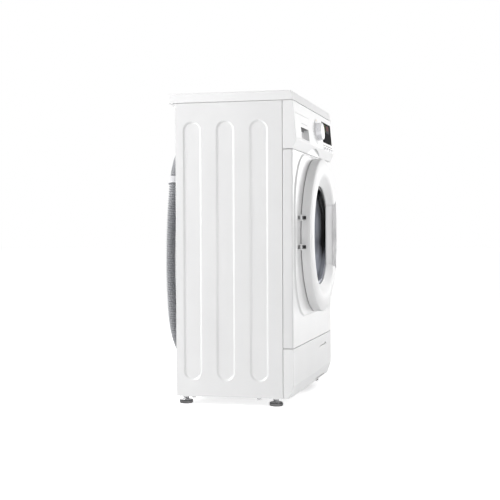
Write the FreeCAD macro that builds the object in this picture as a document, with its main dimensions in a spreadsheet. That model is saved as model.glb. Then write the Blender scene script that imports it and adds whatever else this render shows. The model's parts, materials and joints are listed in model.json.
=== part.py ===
import FreeCAD, Part
import math
import os

import Sketcher

Vector = FreeCAD.Vector
Rotation = FreeCAD.Rotation

# Slim front-loading washing machine, 600 wide, 850 high, about 350 deep without its door.
# Frame: +X to the right seen from the front, -Y to the front, +Z up, floor at Z 0.

# Driving dimensions in millimetres
SIZES = {
    # cabinet
    "body_width": 600.0, "body_height": 850.0, "lid_height": 27.0, "foot_height": 23.0,
    "side_depth": 298.0, "front_depth": 29.0, "lid_overhang": 22.0, "door_reach": 37.0,
    "sheet": 1.2, "wall": 2.5, "seam": 1.4, "seat_gap": 0.3, "panel_gap": 0.8, "front_gap": 1.8,
    "flange": 14.0, "corner_radius": 5.0,
    # side beads
    "bead_width": 52.0, "bead_depth": 3.0, "bead_pitch": 93.0, "bead_inset": 47.0,
    "bead_low": 44.0, "bead_high": 49.0, "bead_slope": 60.0,
    # lid
    "lid_rake": 6.0, "lid_lip": 1.0, "lid_back_radius": 8.0, "lid_edge": 3.0,
    "lid_border": 20.0, "lid_skin": 4.0, "lid_seat_inset": 6.0,
    "tab_width": 24.0, "tab_depth": 6.0, "tab_drop": 13.0, "tab_inset": 5.0,
    # base and feet
    "base_rise": 22.0, "base_wall": 4.0, "base_window_x": 190.0, "base_window_y": 55.0,
    "boss_radius": 15.0, "boss_rise": 28.0, "foot_inset_x": 32.0, "foot_inset_front": 25.0,
    "foot_inset_back": 18.0, "foot_radius": 19.0, "foot_share": 0.45, "foot_edge": 2.0,
    "stem_radius": 5.0, "stem_top": 48.0, "run_clear": 0.05, "nut_radius": 10.0, "nut_high": 7.0,
    # front panel and its boss round the door
    "kick_share": 0.186, "console_high": 130.0, "door_drop": 231.0, "boss_height": 5.5,
    "boss_inset": 14.0, "boss_half_z": 228.0, "boss_corner": 150.0, "boss_circle": 223.5,
    "boss_step": 4.5, "boss_step_high": 4.0,
    "dish_radius": 196.0, "dish_depth": 32.5, "dish_mouth": 160.0, "dish_lip": 6.0,
    # kick panel, filter flap and pump filter
    "bevel_high": 34.0, "bevel_depth": 12.0, "flap_left": 80.0, "flap_right": 229.0,
    "flap_low": 28.0, "flap_drop": 32.5, "flap_foot": 3.0, "flap_pin": 2.0, "flap_pin_rise": 8.0,
    "flap_pin_depth": 6.0, "notch_inset": 28.0, "notch_high": 6.0, "notch_deep": 3.0, "cheek_width": 7.0,
    "cheek_reach": 5.0, "pump_x": 152.0, "pump_rise": 55.8, "pump_radius": 30.0,
    "pump_motor_radius": 24.0, "pump_length": 100.0, "motor_length": 48.0, "filter_radius": 26.0,
    "filter_thick": 8.0, "filter_plug": 21.0, "filter_plug_long": 30.0, "grip_high": 9.0,
    "grip_width": 9.0, "pump_front": 9.0, "pump_foot": 12.0,
    # console
    "bulge_depth": 10.0, "bulge_rise": 27.0, "face_lead": 0.5, "console_edge": 1.2,
    "scallop": 252.0, "rim_inset": 8.0, "rim_width": 4.0,
    "window_inset": 20.0, "window_width": 158.0, "window_low": 24.0, "window_high": 87.0,
    "window_thick": 1.5, "window_rebate": 5.0, "module_lead": 28.0, "module_margin": 5.0,
    "module_depth": 17.0, "knob_shift": 14.0, "knob_up": 47.0, "knob_radius": 26.5, "knob_high": 19.0,
    "knob_crown": 3.0, "knob_taper": 1.5, "knob_shaft": 3.0, "knob_shaft_long": 9.0,
    "bezel_radius": 38.0, "bezel_high": 1.2, "mark_width": 2.4, "mark_depth": 1.2,
    "key_width": 32.0, "key_high": 8.0, "key_pitch": 41.0, "key_up": 2.5,
    "key_proud": 1.8, "key_long": 8.0, "key_clear": 0.4, "key_corner": 2.0,
    # detergent drawer
    "drawer_inset": 13.0, "drawer_width": 197.0, "drawer_low": 4.0, "drawer_high": 72.0,
    "drawer_thick": 25.0, "pull_inset": 67.0, "pull_width": 115.0, "pull_low": 7.0,
    "pull_high": 39.0, "pull_depth": 18.0, "pull_lip": 11.0, "pull_undercut": 7.0, "pull_sweep": 8.0,
    "housing_back": 53.0, "housing_wall": 2.0, "housing_side": 3.0, "housing_high": 78.0,
    "housing_gap": 3.0, "tray_side": 2.0, "tray_back": 6.0, "tray_high": 46.0, "tray_wall": 2.0,
    "cup_split": 0.6, "cup_back": 0.45, "lug_width": 30.0, "lug_high": 20.0,
    # rear fittings
    "access_radius": 140.0, "cover_radius": 158.0, "cover_dish": 4.0, "cover_slope": 10.0,
    "inlet_x": -180.0, "inlet_drop": 53.0, "inlet_radius": 13.2, "inlet_long": 15.0,
    "inlet_collar": 18.0, "inlet_body": 48.0, "inlet_block": 17.0, "hole_clear": 0.8,
    "fill_radius": 8.0, "fill_wall": 2.0, "gland_inset": 60.0, "gland_drop": 123.0, "gland_radius": 11.0,
    "gland_bore": 4.5, "gland_long": 12.0, "gland_flange": 15.0,
    # drain hose
    "hose_radius": 14.0, "hose_bore": 10.5, "hose_root": 11.8, "hose_pitch": 5.2,
    "hose_cuff": 34.0, "cuff_radius": 13.0, "clip_wide": 19.0, "clip_wall": 2.6, "clip_clear": 1.0,
    "clip_foot": 10.0, "outlet_flange": 24.0, "outlet_radius": 12.5, "outlet_reach": 21.0,
    # door
    "door_radius": 222.0, "door_gap": 2.0, "door_side": 20.5, "door_corner": 4.0,
    "crest_radius": 188.0, "dome_arc": 90.0, "funnel_radius": 170.0, "funnel_drop": 4.0,
    "funnel_arc": 40.0, "glass_open": 143.0, "glass_drop": 18.0, "door_wall": 3.0,
    "back_inner": 139.5, "back_thick": 3.0, "glass_flange": 150.0, "glass_wall": 4.0,
    "bowl_root": 138.0, "bowl_neck": 132.0, "bowl_neck_in": 17.5, "bowl_tip": 114.0,
    "bowl_deep": 62.5, "bowl_round": 10.0, "handle_over": 31.0, "handle_half_in": 85.0,
    "handle_half_out": 102.0, "handle_sink_in": 18.5, "handle_sink_out": 9.5, "handle_wall": 2.0,
    "handle_lip": 1.0, "grip_half": 16.0, "grip_deep": 7.0,
    # door hinge and lock
    "hinge_offset": 18.0, "hinge_out": 2.5, "hinge_lift": 8.0, "hinge_spread": 40.0,
    "pin_radius": 2.5, "knuckle": 5.0, "arm_half": 4.0, "arm_thick": 5.7, "arm_reach": 44.0,
    "ear_gap": 1.3, "ear_thick": 2.5, "ear_round": 6.0, "bracket_reach": 22.0,
    "bracket_deep": 13.0, "notch_clear": 1.0, "notch_lead": 3.5, "pocket_clear": 0.4, "hook_x": 184.0,
    "hook_half": 3.0, "hook_high": 9.0, "hook_reach": 27.5, "hook_barb": 3.0, "slot_clear": 4.0,
    "lock_wide": 40.0, "lock_high": 28.0, "lock_deep": 30.0, "lock_lead": 8.0,
    # tub, drum and drive
    "tub_radius": 250.0, "tub_wall": 4.0, "tub_front": 35.0, "tub_split": 34.0, "tub_mouth": 152.0,
    "tub_rim": 6.0, "drum_radius": 232.0, "drum_sheet": 1.5, "drum_clear": 9.0, "rear_gap": 9.3,
    "drum_mouth": 150.0, "drum_shoulder": 18.0, "drum_roll": 4.0, "spider_gap": 0.3,
    "spider_thick": 10.0, "spider_hub": 34.0, "spider_arm": 22.0, "spider_reach": 205.0,
    "tub_back_gap": 2.0, "shaft_radius": 14.0, "hub_radius": 40.0, "bearing_radius": 31.0,
    "bearing_wide": 12.0, "bearing_space": 3.0, "stator_radius": 118.0, "stator_yoke": 84.0,
    "stator_thick": 21.0, "tooth_width": 11.0, "rotor_gap": 4.0,
    "rotor_rim": 5.0, "rotor_plate": 3.0, "rotor_back_gap": 2.0, "rotor_hub": 30.0,
    "rotor_hub_long": 6.0, "lifter_high": 44.0, "lifter_root": 54.0, "lifter_top": 22.0,
    "lifter_crown": 13.2,
    "lifter_inset": 18.0, "weight_inner": 182.0, "weight_outer": 246.0, "weight_thick": 24.0,
    "weight_angle": 128.0, "heater_tube": 3.0, "heater_half": 40.0, "heater_long": 160.0,
    "heater_plug": 6.0,
    # suspension and inner hoses
    "spring_x": 225.0, "spring_y": 88.0, "spring_radius": 11.0, "spring_wire": 1.5,
    "spring_turns": 14.0, "hanger_drop": 34.0, "hanger_thick": 4.0, "hanger_half": 11.0,
    "spring_lug": 42.0, "damper_x": 95.0, "damper_y": 3.0, "damper_radius": 14.0,
    "damper_gap": 14.5, "damper_lug": 16.0, "damper_half": 11.0, "rod_radius": 5.0,
    "rod_clear": 0.4, "rod_share": 0.48, "rod_bush": 10.0, "bush_high": 8.0,
    "rod_stop": 12.0, "gasket_wall": 4.0, "lip_clear": 0.5, "gasket_fold": 142.0,
    "gasket_back": 164.0, "sump_y": -37.0, "sump_radius": 17.0, "sump_long": 26.0,
    "bellows_out": 6.0, "bellows_wall": 2.5, "inlet_spout": 15.0, "drop_x": -150.0, "drop_y": -7.0,
    "drop_radius": 14.0, "drop_long": 18.0, "drain_inner": 10.0, "drain_inner_wall": 2.0,
}

# Route of the drain hose as x, distance behind the back panel and z: out of its elbow, round and up
# the left edge, then over to the right under the lid
HOSE_ROUTE = [
    (-66.0, 18.2, 112.0), (-141.0, 18.7, 112.5), (-214.0, 20.2, 154.0), (-255.0, 24.2, 227.0),
    (-257.0, 29.2, 340.0), (-257.5, 28.7, 445.0), (-255.0, 24.7, 540.0), (-247.0, 20.2, 622.0),
    (-212.0, 18.2, 682.0), (-152.0, 17.7, 716.0), (-78.0, 18.2, 722.0), (5.0, 18.2, 716.0),
    (85.0, 18.7, 716.5), (150.0, 18.2, 722.0),
]
CLIP_PLACES = (0.585, 0.955)
# Share of a run that the arc at each of its ends takes, and where one rib rises and falls along its pitch
ARC_SHARE = 0.45
RIB_FOOT, RIB_TOP = 0.12, 0.38
TOOTH_COUNT = 18
SPOKE_ANGLES = (60, 180, 300)
FOLD_COUNT = 3
KEY_NAMES = ["start_key", "temperature_key", "spin_key", "option_key"]

doc = FreeCAD.newDocument("SlimWasher")
sheet = doc.addObject("Spreadsheet::Sheet", "Sizes")
places = doc.addObject("App::VarSet", "Places")
pieces = []


class Size:
    """A length held as a number together with the document expression that gives it."""

    def __init__(self, value, text):
        self.value = value
        self.text = text

    def __add__(self, other):
        other = as_size(other)
        return Size(self.value + other.value, f"({self.text} + {other.text})")

    def __radd__(self, other):
        return as_size(other) + self

    def __sub__(self, other):
        other = as_size(other)
        return Size(self.value - other.value, f"({self.text} - {other.text})")

    def __rsub__(self, other):
        return as_size(other) - self

    def __mul__(self, other):
        other = as_size(other)
        return Size(self.value * other.value, f"({self.text} * {other.text})")

    def __rmul__(self, other):
        return as_size(other) * self

    def __truediv__(self, other):
        other = as_size(other)
        return Size(self.value / other.value, f"({self.text} / {other.text})")

    def __neg__(self):
        return Size(-self.value, f"(-1 * {self.text})")


def as_size(number):
    if isinstance(number, Size):
        return number
    return Size(float(number), repr(float(number)))


def root(size):
    return Size(math.sqrt(size.value), f"sqrt({size.text})")


class Sheet:
    """Gives every cell of the sheet by its alias."""

    def __init__(self, sizes):
        for row, (name, value) in enumerate(sizes.items(), start=1):
            sheet.set(f"A{row}", name)
            sheet.set(f"B{row}", str(value))
            sheet.setAlias(f"B{row}", name)
            setattr(self, name, Size(value, f"Sizes.{name}"))
        doc.recompute()


def place(name, size):
    """Keeps a derived position in the document under its own name."""
    places.addProperty("App::PropertyFloat", name, "Places")
    places.setExpression(name, size.text)
    return Size(size.value, f"Places.{name}")


def bind(thing, path, size):
    thing.setExpression(path, as_size(size).text)


def put(thing, x=0, y=0, z=0):
    for axis, size in zip("xyz", (x, y, z)):
        bind(thing, f"Placement.Base.{axis}", size)


# Solids and booleans

def block(name, x0, x1, y0, y1, z0, z1):
    box = doc.addObject("Part::Box", name)
    bind(box, "Length", as_size(x1) - x0)
    bind(box, "Width", as_size(y1) - y0)
    bind(box, "Height", as_size(z1) - z0)
    put(box, x0, y0, z0)
    return box


ROD_TURN = {"x": Rotation(Vector(0, 1, 0), 90), "y": Rotation(Vector(1, 0, 0), -90), "z": Rotation()}


def rod(name, axis, first, second, radius, start, end):
    """Cylinder along an axis from start to end; first and second place it across that axis."""
    cylinder = doc.addObject("Part::Cylinder", name)
    cylinder.Placement = FreeCAD.Placement(Vector(), ROD_TURN[axis])
    bind(cylinder, "Radius", radius)
    bind(cylinder, "Height", as_size(end) - start)
    spots = {"x": (start, first, second), "y": (first, start, second), "z": (first, second, start)}
    put(cylinder, *spots[axis])
    return cylinder


def joined(kind, name, shapes):
    result = doc.addObject(kind, name)
    result.Shapes = list(shapes)
    return result


def fuse(name, *shapes):
    return joined("Part::MultiFuse", name, shapes)


def common(name, *shapes):
    return joined("Part::MultiCommon", name, shapes)


def cut(name, base, *tools):
    result = doc.addObject("Part::Cut", name)
    result.Base = base
    result.Tool = tools[0] if len(tools) == 1 else fuse(f"{name}_tools", *tools)
    return result


def group(name, *solids):
    result = doc.addObject("Part::Compound", name)
    result.Links = list(solids)
    return result


def mirrored(name, source):
    result = doc.addObject("Part::Mirroring", name)
    result.Source = source
    result.Normal = Vector(1, 0, 0)
    return result


# Sketches

def arc_edge(start, end, radius):
    """Arc between two points, turning left for a positive radius and right for a negative one."""
    chord = end - start
    left = Vector(-chord.y, chord.x, 0).normalize()
    rise = math.sqrt(max(radius * radius - chord.Length ** 2 / 4, 0.0))
    centre = (start + end) * 0.5 + left * math.copysign(rise, radius)
    first, last = (start, end) if radius > 0 else (end, start)
    angles = [math.atan2(point.y - centre.y, point.x - centre.x) for point in (first, last)]
    return Part.ArcOfCircle(Part.Circle(centre, Vector(0, 0, 1), abs(radius)), *angles)


def pin(sketch, edge, end, point):
    """Fixes one sketch point at its two distances from the sketch origin."""
    for kind, axis, size in (("DistanceX", -2, point[0]), ("DistanceY", -1, point[1])):
        size = as_size(size)
        if size.value == 0:
            sketch.addConstraint(Sketcher.Constraint("PointOnObject", edge, end, axis))
            continue
        index = sketch.addConstraint(Sketcher.Constraint(kind, -1, 1, edge, end, size.value))
        bind(sketch, f"Constraints[{index}]", size)


def draw(sketch, points):
    """Closed outline; a third value on a point is the radius of the arc that arrives there."""
    spots = [Vector(as_size(point[0]).value, as_size(point[1]).value, 0) for point in points]
    edges = []
    for index, start in enumerate(spots):
        following = (index + 1) % len(points)
        target = points[following]
        if len(target) == 2:
            number = sketch.addGeometry(Part.LineSegment(start, spots[following]))
            edges.append((number, 1, 2))
            continue
        radius = as_size(target[2])
        number = sketch.addGeometry(arc_edge(start, spots[following], radius.value))
        ends = (1, 2) if radius.value > 0 else (2, 1)
        edges.append((number, *ends))
        size = radius if radius.value > 0 else -radius
        held = sketch.addConstraint(Sketcher.Constraint("Radius", number, size.value))
        bind(sketch, f"Constraints[{held}]", size)
    for index, (number, start, end) in enumerate(edges):
        following, next_start, _ = edges[(index + 1) % len(edges)]
        sketch.addConstraint(Sketcher.Constraint("Coincident", number, end, following, next_start))
        pin(sketch, number, start, points[index])


def new_sketch(body, plane, offset=0):
    sketch = body.newObject("Sketcher::SketchObject", f"{body.Name}_sketch")
    support = next(item for item in body.Origin.OriginFeatures if item.Role == f"{plane}_Plane")
    sketch.AttachmentSupport = [(support, "")]
    sketch.MapMode = "FlatFace"
    bind(sketch, "AttachmentOffset.Base.z", offset)
    return sketch


def prism(name, plane, outlines, start, end, taper=0):
    """Pad of one or more outlines between two levels along the plane's normal axis."""
    body = doc.addObject("PartDesign::Body", name)
    offset = -as_size(end) if plane == "XZ" else start
    sketch = new_sketch(body, plane, offset)
    for points in outlines:
        draw(sketch, points)
    pad = body.newObject("PartDesign::Pad", f"{name}_pad")
    pad.Profile = sketch
    bind(pad, "Length", as_size(end) - start)
    pad.TaperAngle = taper
    return body


def turned(name, axis, points, x=0, y=0, z=0, sector=360, turn=0):
    """Revolved outline: (y, radius) about Y, (x, radius) about X, or (radius, z) about Z."""
    body = doc.addObject("PartDesign::Body", name)
    sketch = new_sketch(body, "YZ" if axis == "y" else "XZ")
    draw(sketch, points)
    spin = body.newObject("PartDesign::Revolution", f"{name}_spin")
    spin.Profile = sketch
    spin.ReferenceAxis = (sketch, ["V_Axis" if axis == "z" else "H_Axis"])
    bind(spin, "Angle", sector)
    spin.Midplane = as_size(sector).value < 360
    body.Placement = FreeCAD.Placement(Vector(), Rotation(Vector(0, 1, 0), turn))
    put(body, x, y, z)
    return body


def round_edges(body, radius, chosen):
    """Fillets the edges of a body that the test picks."""
    doc.recompute()
    base = body.Tip
    names = [f"Edge{number}" for number, edge in enumerate(base.Shape.Edges, start=1) if chosen(edge)]
    fillet = body.newObject("PartDesign::Fillet", f"{body.Name}_fillet")
    fillet.Base = (base, names)
    bind(fillet, "Radius", radius)
    return body


def stadium(across, low, high, width):
    """Upright slot outline with round ends."""
    r = width / 2
    return [(across - r, low + r), (across, low, r), (across + r, low + r, r),
            (across + r, high - r), (across, high, r), (across - r, high - r, r)]


def rounded_box(x0, x1, y0, y1, r):
    return [(x1 - r, y0), (x1, y0 + r, r), (x1, y1 - r), (x1 - r, y1, r),
            (x0 + r, y1), (x0, y1 - r, r), (x0, y0 + r), (x0 + r, y0, r)]


def piece(name, shape):
    """Registers a finished sub-part under its label."""
    shape.Label = name
    pieces.append(shape)
    return shape


s = Sheet(SIZES)

# Route of the drain hose

def rounded_path(spots):
    """Straight runs joined by the largest tangent arcs that fit, with the arc radii."""
    edges = []
    radii = []
    here = spots[0]
    for index in range(1, len(spots) - 1):
        corner = spots[index]
        before = spots[index - 1] - corner
        after = spots[index + 1] - corner
        cut_back = ARC_SHARE * min(before.Length, after.Length)
        turn = math.pi - before.getAngle(after)
        radii.append(cut_back / math.tan(turn / 2))
        start = corner + Vector(before).normalize() * cut_back
        end = corner + Vector(after).normalize() * cut_back
        inward = (Vector(before).normalize() + Vector(after).normalize()).normalize()
        reach = math.hypot(cut_back, radii[-1]) - radii[-1]
        edges.append(Part.LineSegment(here, start).toShape())
        edges.append(Part.Arc(start, corner + inward * reach, end).toShape())
        here = end
    edges.append(Part.LineSegment(here, spots[-1]).toShape())
    return Part.Wire(edges), radii


def path_frames(path, distances):
    """Point and direction of the route at each distance along it."""
    frames = []
    edges = path.OrderedEdges
    for distance in distances:
        left = distance
        for edge in edges:
            if left <= edge.Length or edge is edges[-1]:
                break
            left -= edge.Length
        at = edge.getParameterByLength(min(left, edge.Length))
        frames.append((edge.valueAt(at), edge.tangentAt(at)))
    return frames


def clip_spot(path, share):
    """Point of a clip on the hose and the hose's direction there along the panel."""
    (point, direction), = path_frames(path, [share * path.Length])
    return point, Vector(direction.x, 0, direction.z).normalize()


hose_path, hose_radii = rounded_path([Vector(*point) for point in HOSE_ROUTE])
clip_stand = Size(0.0, "Places.clip_stand")
clip_stand.value = max(clip_spot(hose_path, share)[0].y for share in CLIP_PLACES)
places.addProperty("App::PropertyFloat", "clip_stand", "Places")
places.clip_stand = clip_stand.value
clip_radius = place("clip_radius", s.hose_radius + s.clip_clear + s.clip_wall)

# Main planes of the cabinet; the hose clips reach furthest back and the door furthest to the front
half = place("half", s.body_width / 2)
depth_ahead = place("depth_ahead", s.door_reach + s.front_depth + s.side_depth - s.sheet)
panel_y = place("panel_y", (depth_ahead - clip_stand - clip_radius) / 2)
back_y = place("back_y", panel_y + s.sheet)
lid_back_y = place("lid_back_y", back_y + s.lid_overhang)
seam_y = place("seam_y", back_y - s.side_depth)
front_y = place("front_y", seam_y - s.front_depth)
front_back_y = place("front_back_y", seam_y - s.seam)
top_z = place("top_z", s.body_height - s.lid_height)
bottom_z = place("bottom_z", s.foot_height)
base_z = place("base_z", bottom_z + s.sheet)
floor_z = place("floor_z", base_z + s.base_wall)
console_low = place("console_low", top_z - s.console_high)
axis_z = place("axis_z", console_low - s.door_drop)
kick_top = place("kick_top", s.body_height * s.kick_share)
flap_high = place("flap_high", kick_top - s.flap_drop)
pump_z = place("pump_z", base_z + s.pump_rise)
gland_x = place("gland_x", half - s.gland_inset)
gland_z = place("gland_z", top_z - s.gland_drop)

# Door stack, from the pressed boss forward
boss_half_x = place("boss_half_x", half - s.boss_inset)
boss_y = place("boss_y", front_y - s.boss_height)
door_back_y = place("door_back_y", boss_y - s.door_gap)
back_ring_y = place("back_ring_y", door_back_y - s.back_thick)
crest_y = place("crest_y", front_y - s.door_reach)
dish_y = place("dish_y", boss_y + s.dish_depth)
bowl_neck_y = place("bowl_neck_y", back_ring_y + s.bowl_neck_in)
bowl_tip_y = place("bowl_tip_y", back_ring_y + s.bowl_deep)
hinge_x = place("hinge_x", -s.door_radius - s.hinge_offset)
hinge_y = place("hinge_y", door_back_y - s.hinge_out)
hinge_heights = [axis_z + s.hinge_lift - s.hinge_spread, axis_z + s.hinge_lift + s.hinge_spread]

# Tub and drum stack: the mouths from the door lip backward, the drive from the back panel forward,
# and the drum fills what is left between them
tub_front_y = place("tub_front_y", dish_y + s.tub_front)
split_y = place("split_y", tub_front_y + s.tub_split)
drum_front_y = place("drum_front_y", tub_front_y + s.tub_wall + s.drum_clear)
rotor_end_y = place("rotor_end_y", panel_y - s.sheet - s.rear_gap)
rotor_back_y = place("rotor_back_y", rotor_end_y - s.rotor_hub_long)
rotor_y = place("rotor_y", rotor_back_y - s.rotor_plate)
hub_end_y = place("hub_end_y", rotor_y - s.rotor_back_gap)
tub_back_y = place("tub_back_y", hub_end_y - 2 * s.bearing_wide - s.bearing_space)
tub_outer_y = place("tub_outer_y", tub_back_y + s.tub_wall)
spider_back_y = place("spider_back_y", tub_back_y - s.tub_back_gap)
spider_y = place("spider_y", spider_back_y - s.spider_thick)
drum_back_y = place("drum_back_y", spider_y - s.spider_gap)

# Console face, a plane leaning back from the bulge line
bulge_y = place("bulge_y", front_y - s.bulge_depth)
bulge_z = place("bulge_z", console_low + s.bulge_rise)
face_run = place("face_run", s.bulge_depth - s.face_lead)
face_rise = place("face_rise", top_z - bulge_z)
face_length = place("face_length", root(face_run * face_run + face_rise * face_rise))
FACE_TILT = f"-atan({face_run.text} / {face_rise.text})"

# Across the console: drawer from the left side, window from the right, knob between them
drawer_x0 = place("drawer_x0", s.drawer_inset - half)
drawer_x1 = place("drawer_x1", drawer_x0 + s.drawer_width)
pull_x0 = place("pull_x0", drawer_x0 + s.pull_inset)
pull_x1 = place("pull_x1", pull_x0 + s.pull_width)
window_x1 = place("window_x1", half - s.window_inset)
window_x0 = place("window_x0", window_x1 - s.window_width)
knob_x = place("knob_x", (drawer_x1 + window_x0) / 2 + s.knob_shift)


def face_y(z):
    """Y of the leaning console face at a height."""
    return bulge_y + (z - bulge_z) * face_run / face_rise


def lean(thing, x=0, up=0):
    """Places a thing drawn on a flat vertical face at its spot on the leaning console face."""
    thing.Placement = FreeCAD.Placement(Vector(), Rotation(Vector(1, 0, 0), -1))
    thing.setExpression("Placement.Rotation.Angle", FACE_TILT)
    put(thing, x, bulge_y + up * face_run / face_length, bulge_z + up * face_rise / face_length)
    return thing


# How far a cutting solid passes its face, and how near an edge counts as lying on a plane
OVERCUT = 5.0
NEAR = 0.1


# Cabinet

def side_beads(name, grow, depth):
    """Three tall pressed beads in the left side, as a tapered block going inward."""
    rear = back_y - s.bead_inset
    width = s.bead_width + 2 * as_size(grow)
    outlines = [stadium(rear - number * s.bead_pitch, bottom_z + s.bead_low - grow,
                        top_z - s.bead_high + grow, width)
                for number in range(3)]
    return prism(name, "YZ", outlines, -half, depth - half, taper=-SIZES["bead_slope"])


def side_panels():
    blank = block("side_blank", -half, s.flange - half, seam_y, back_y, bottom_z, top_z)
    hollow = block("side_hollow", s.sheet - half, s.flange - half + OVERCUT, seam_y + s.sheet, panel_y,
                   base_z, top_z - s.sheet)
    tray = cut("side_tray", blank, hollow)
    hanger_z = top_z - s.hanger_drop
    hanger = block("spring_hanger", s.sheet / 2 - half, s.hanger_half - s.spring_x,
                   s.spring_y - s.hanger_half,
                   s.spring_y + s.hanger_half, hanger_z, hanger_z + s.hanger_thick)
    backed = fuse("side_backed", tray, side_beads("bead_backs", 2 * s.sheet, s.bead_depth + s.sheet), hanger)
    left = cut("left_side", backed, side_beads("bead_recess", 0, s.bead_depth))
    piece("left_side_panel", left)
    piece("right_side_panel", mirrored("right_side", left))


def back_panel():
    inner = half - s.sheet - s.seat_gap
    plate = block("back_plate", -inner, inner, panel_y - s.sheet, panel_y, base_z, top_z - s.sheet)
    span = (panel_y - s.sheet - OVERCUT, panel_y + OVERCUT)
    holes = [
        rod("access_hole", "y", 0, axis_z, s.access_radius, *span),
        rod("inlet_hole", "y", s.inlet_x, top_z - s.inlet_drop, s.inlet_radius + s.hole_clear, *span),
        rod("outlet_hole", "y", outlet_x, outlet_z, s.outlet_radius + s.hole_clear, *span),
        rod("gland_hole", "y", gland_x, gland_z, s.gland_radius + s.hole_clear, *span),
    ]
    piece("back_panel", cut("back", plate, *holes))
    step = s.cover_dish
    cover = [
        (panel_y, s.cover_radius), (panel_y, s.access_radius - s.cover_slope),
        (panel_y + step, s.access_radius - 2 * s.cover_slope), (panel_y + step, 0),
        (panel_y + step + s.sheet, 0), (panel_y + step + s.sheet, s.access_radius - 2 * s.cover_slope),
        (panel_y + s.sheet, s.access_radius - s.cover_slope), (panel_y + s.sheet, s.cover_radius),
    ]
    piece("rear_access_cover", turned("access_cover", "y", cover, z=axis_z))


def top_lid():
    low = top_z + s.seam
    high = s.body_height
    rb = s.lid_back_radius
    front = front_y - s.lid_lip
    profile = [(front, low), (lid_back_y, low), (lid_back_y, high - rb), (lid_back_y - rb, high, rb),
               (front + s.lid_rake, high)]
    slab = prism("lid_slab", "YZ", [profile], -half, half)
    limit = half.value - NEAR

    def soft(edge):
        centre = edge.CenterOfMass
        ahead = centre.y < front_y.value + rb.value
        at_side = abs(centre.x) > limit and centre.z > low.value + NEAR
        at_top = centre.z > high.value - NEAR
        return at_top if ahead else at_side

    round_edges(slab, s.lid_edge, soft)
    seat_x = half - s.lid_seat_inset
    seat = block("lid_seat", -seat_x, seat_x, seam_y, back_y - s.lid_seat_inset, top_z, low + OVERCUT)
    border = s.lid_border
    hollow = block("lid_hollow", border - half, half - border, seam_y + border, back_y - border,
                   top_z - OVERCUT, high - s.lid_skin)
    tabs = []
    for name, side in (("left_tab", -1), ("right_tab", 1)):
        outer = half - s.tab_inset
        x0, x1 = (-outer, s.tab_width - outer) if side < 0 else (outer - s.tab_width, outer)
        tabs.append(block(name, x0, x1, back_y + s.seat_gap, back_y + s.tab_depth, top_z - s.tab_drop,
                          low + s.seam))
    piece("top_lid", fuse("lid", cut("lid_shell", fuse("lid_solid", slab, seat), hollow), *tabs))


foot_x = place("foot_x", half - s.foot_inset_x)
foot_front_y = place("foot_front_y", seam_y + s.foot_inset_front)
foot_back_y = place("foot_back_y", back_y - s.foot_inset_back)
FEET = {
    "front_left_foot": (-foot_x, foot_front_y), "front_right_foot": (foot_x, foot_front_y),
    "rear_left_foot": (-foot_x, foot_back_y), "rear_right_foot": (foot_x, foot_back_y),
}


def base_frame():
    x1 = half - s.sheet - s.seat_gap
    y0 = seam_y + s.sheet + s.seat_gap
    y1 = panel_y - s.sheet - s.seat_gap
    blank = block("base_blank", -x1, x1, y0, y1, base_z, base_z + s.base_rise)
    wall = s.base_wall
    hollow = block("base_hollow", wall - x1, x1 - wall, y0 + wall, y1 - wall, floor_z,
                   base_z + s.base_rise + OVERCUT)
    middle = (seam_y + back_y) / 2
    window = block("base_window", s.damper_x + s.damper_radius - s.base_window_x,
                   s.damper_x - s.damper_radius - wall,
                   middle - s.base_window_y, middle + s.base_window_y, base_z - OVERCUT, floor_z + OVERCUT)
    bosses = [rod(f"{name}_boss", "z", x, y, s.boss_radius, base_z, base_z + s.boss_rise)
              for name, (x, y) in FEET.items()]
    bores = [rod(f"{name}_bore", "z", x, y, s.stem_radius + s.run_clear, base_z - OVERCUT,
                 base_z + s.boss_rise + OVERCUT)
             for name, (x, y) in FEET.items()]
    tray = cut("base_tray", blank, hollow, window)
    piece("base_frame", cut("base", fuse("base_bossed", tray, *bosses), *bores))


def feet():
    edge = s.foot_edge
    neck = s.nut_radius - edge
    thick = s.foot_height * s.foot_share
    neck_top = base_z - s.nut_high - s.seat_gap
    profile = [
        (0, 0), (s.foot_radius - edge, 0), (s.foot_radius, edge), (s.foot_radius, thick - edge),
        (s.foot_radius - edge, thick), (neck, thick), (neck, neck_top), (s.stem_radius, neck_top),
        (s.stem_radius, s.stem_top), (0, s.stem_top),
    ]
    nuts = []
    for name, (x, y) in FEET.items():
        piece(name, turned(f"{name}_body", "z", profile, x=x, y=y))
        nut = doc.addObject("Part::Prism", f"{name}_nut_blank")
        nut.Polygon = 6
        bind(nut, "Circumradius", s.nut_radius)
        bind(nut, "Height", s.nut_high)
        put(nut, x, y, base_z - s.nut_high)
        bore = rod(f"{name}_nut_bore", "z", x, y, s.stem_radius + s.run_clear,
                   base_z - s.nut_high - OVERCUT,
                   base_z + OVERCUT)
        nuts.append(cut(f"{name}_nut", nut, bore))
    piece("foot_lock_nuts", group("lock_nuts", *nuts))


# Front: pressed door panel, kick panel and console

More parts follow.
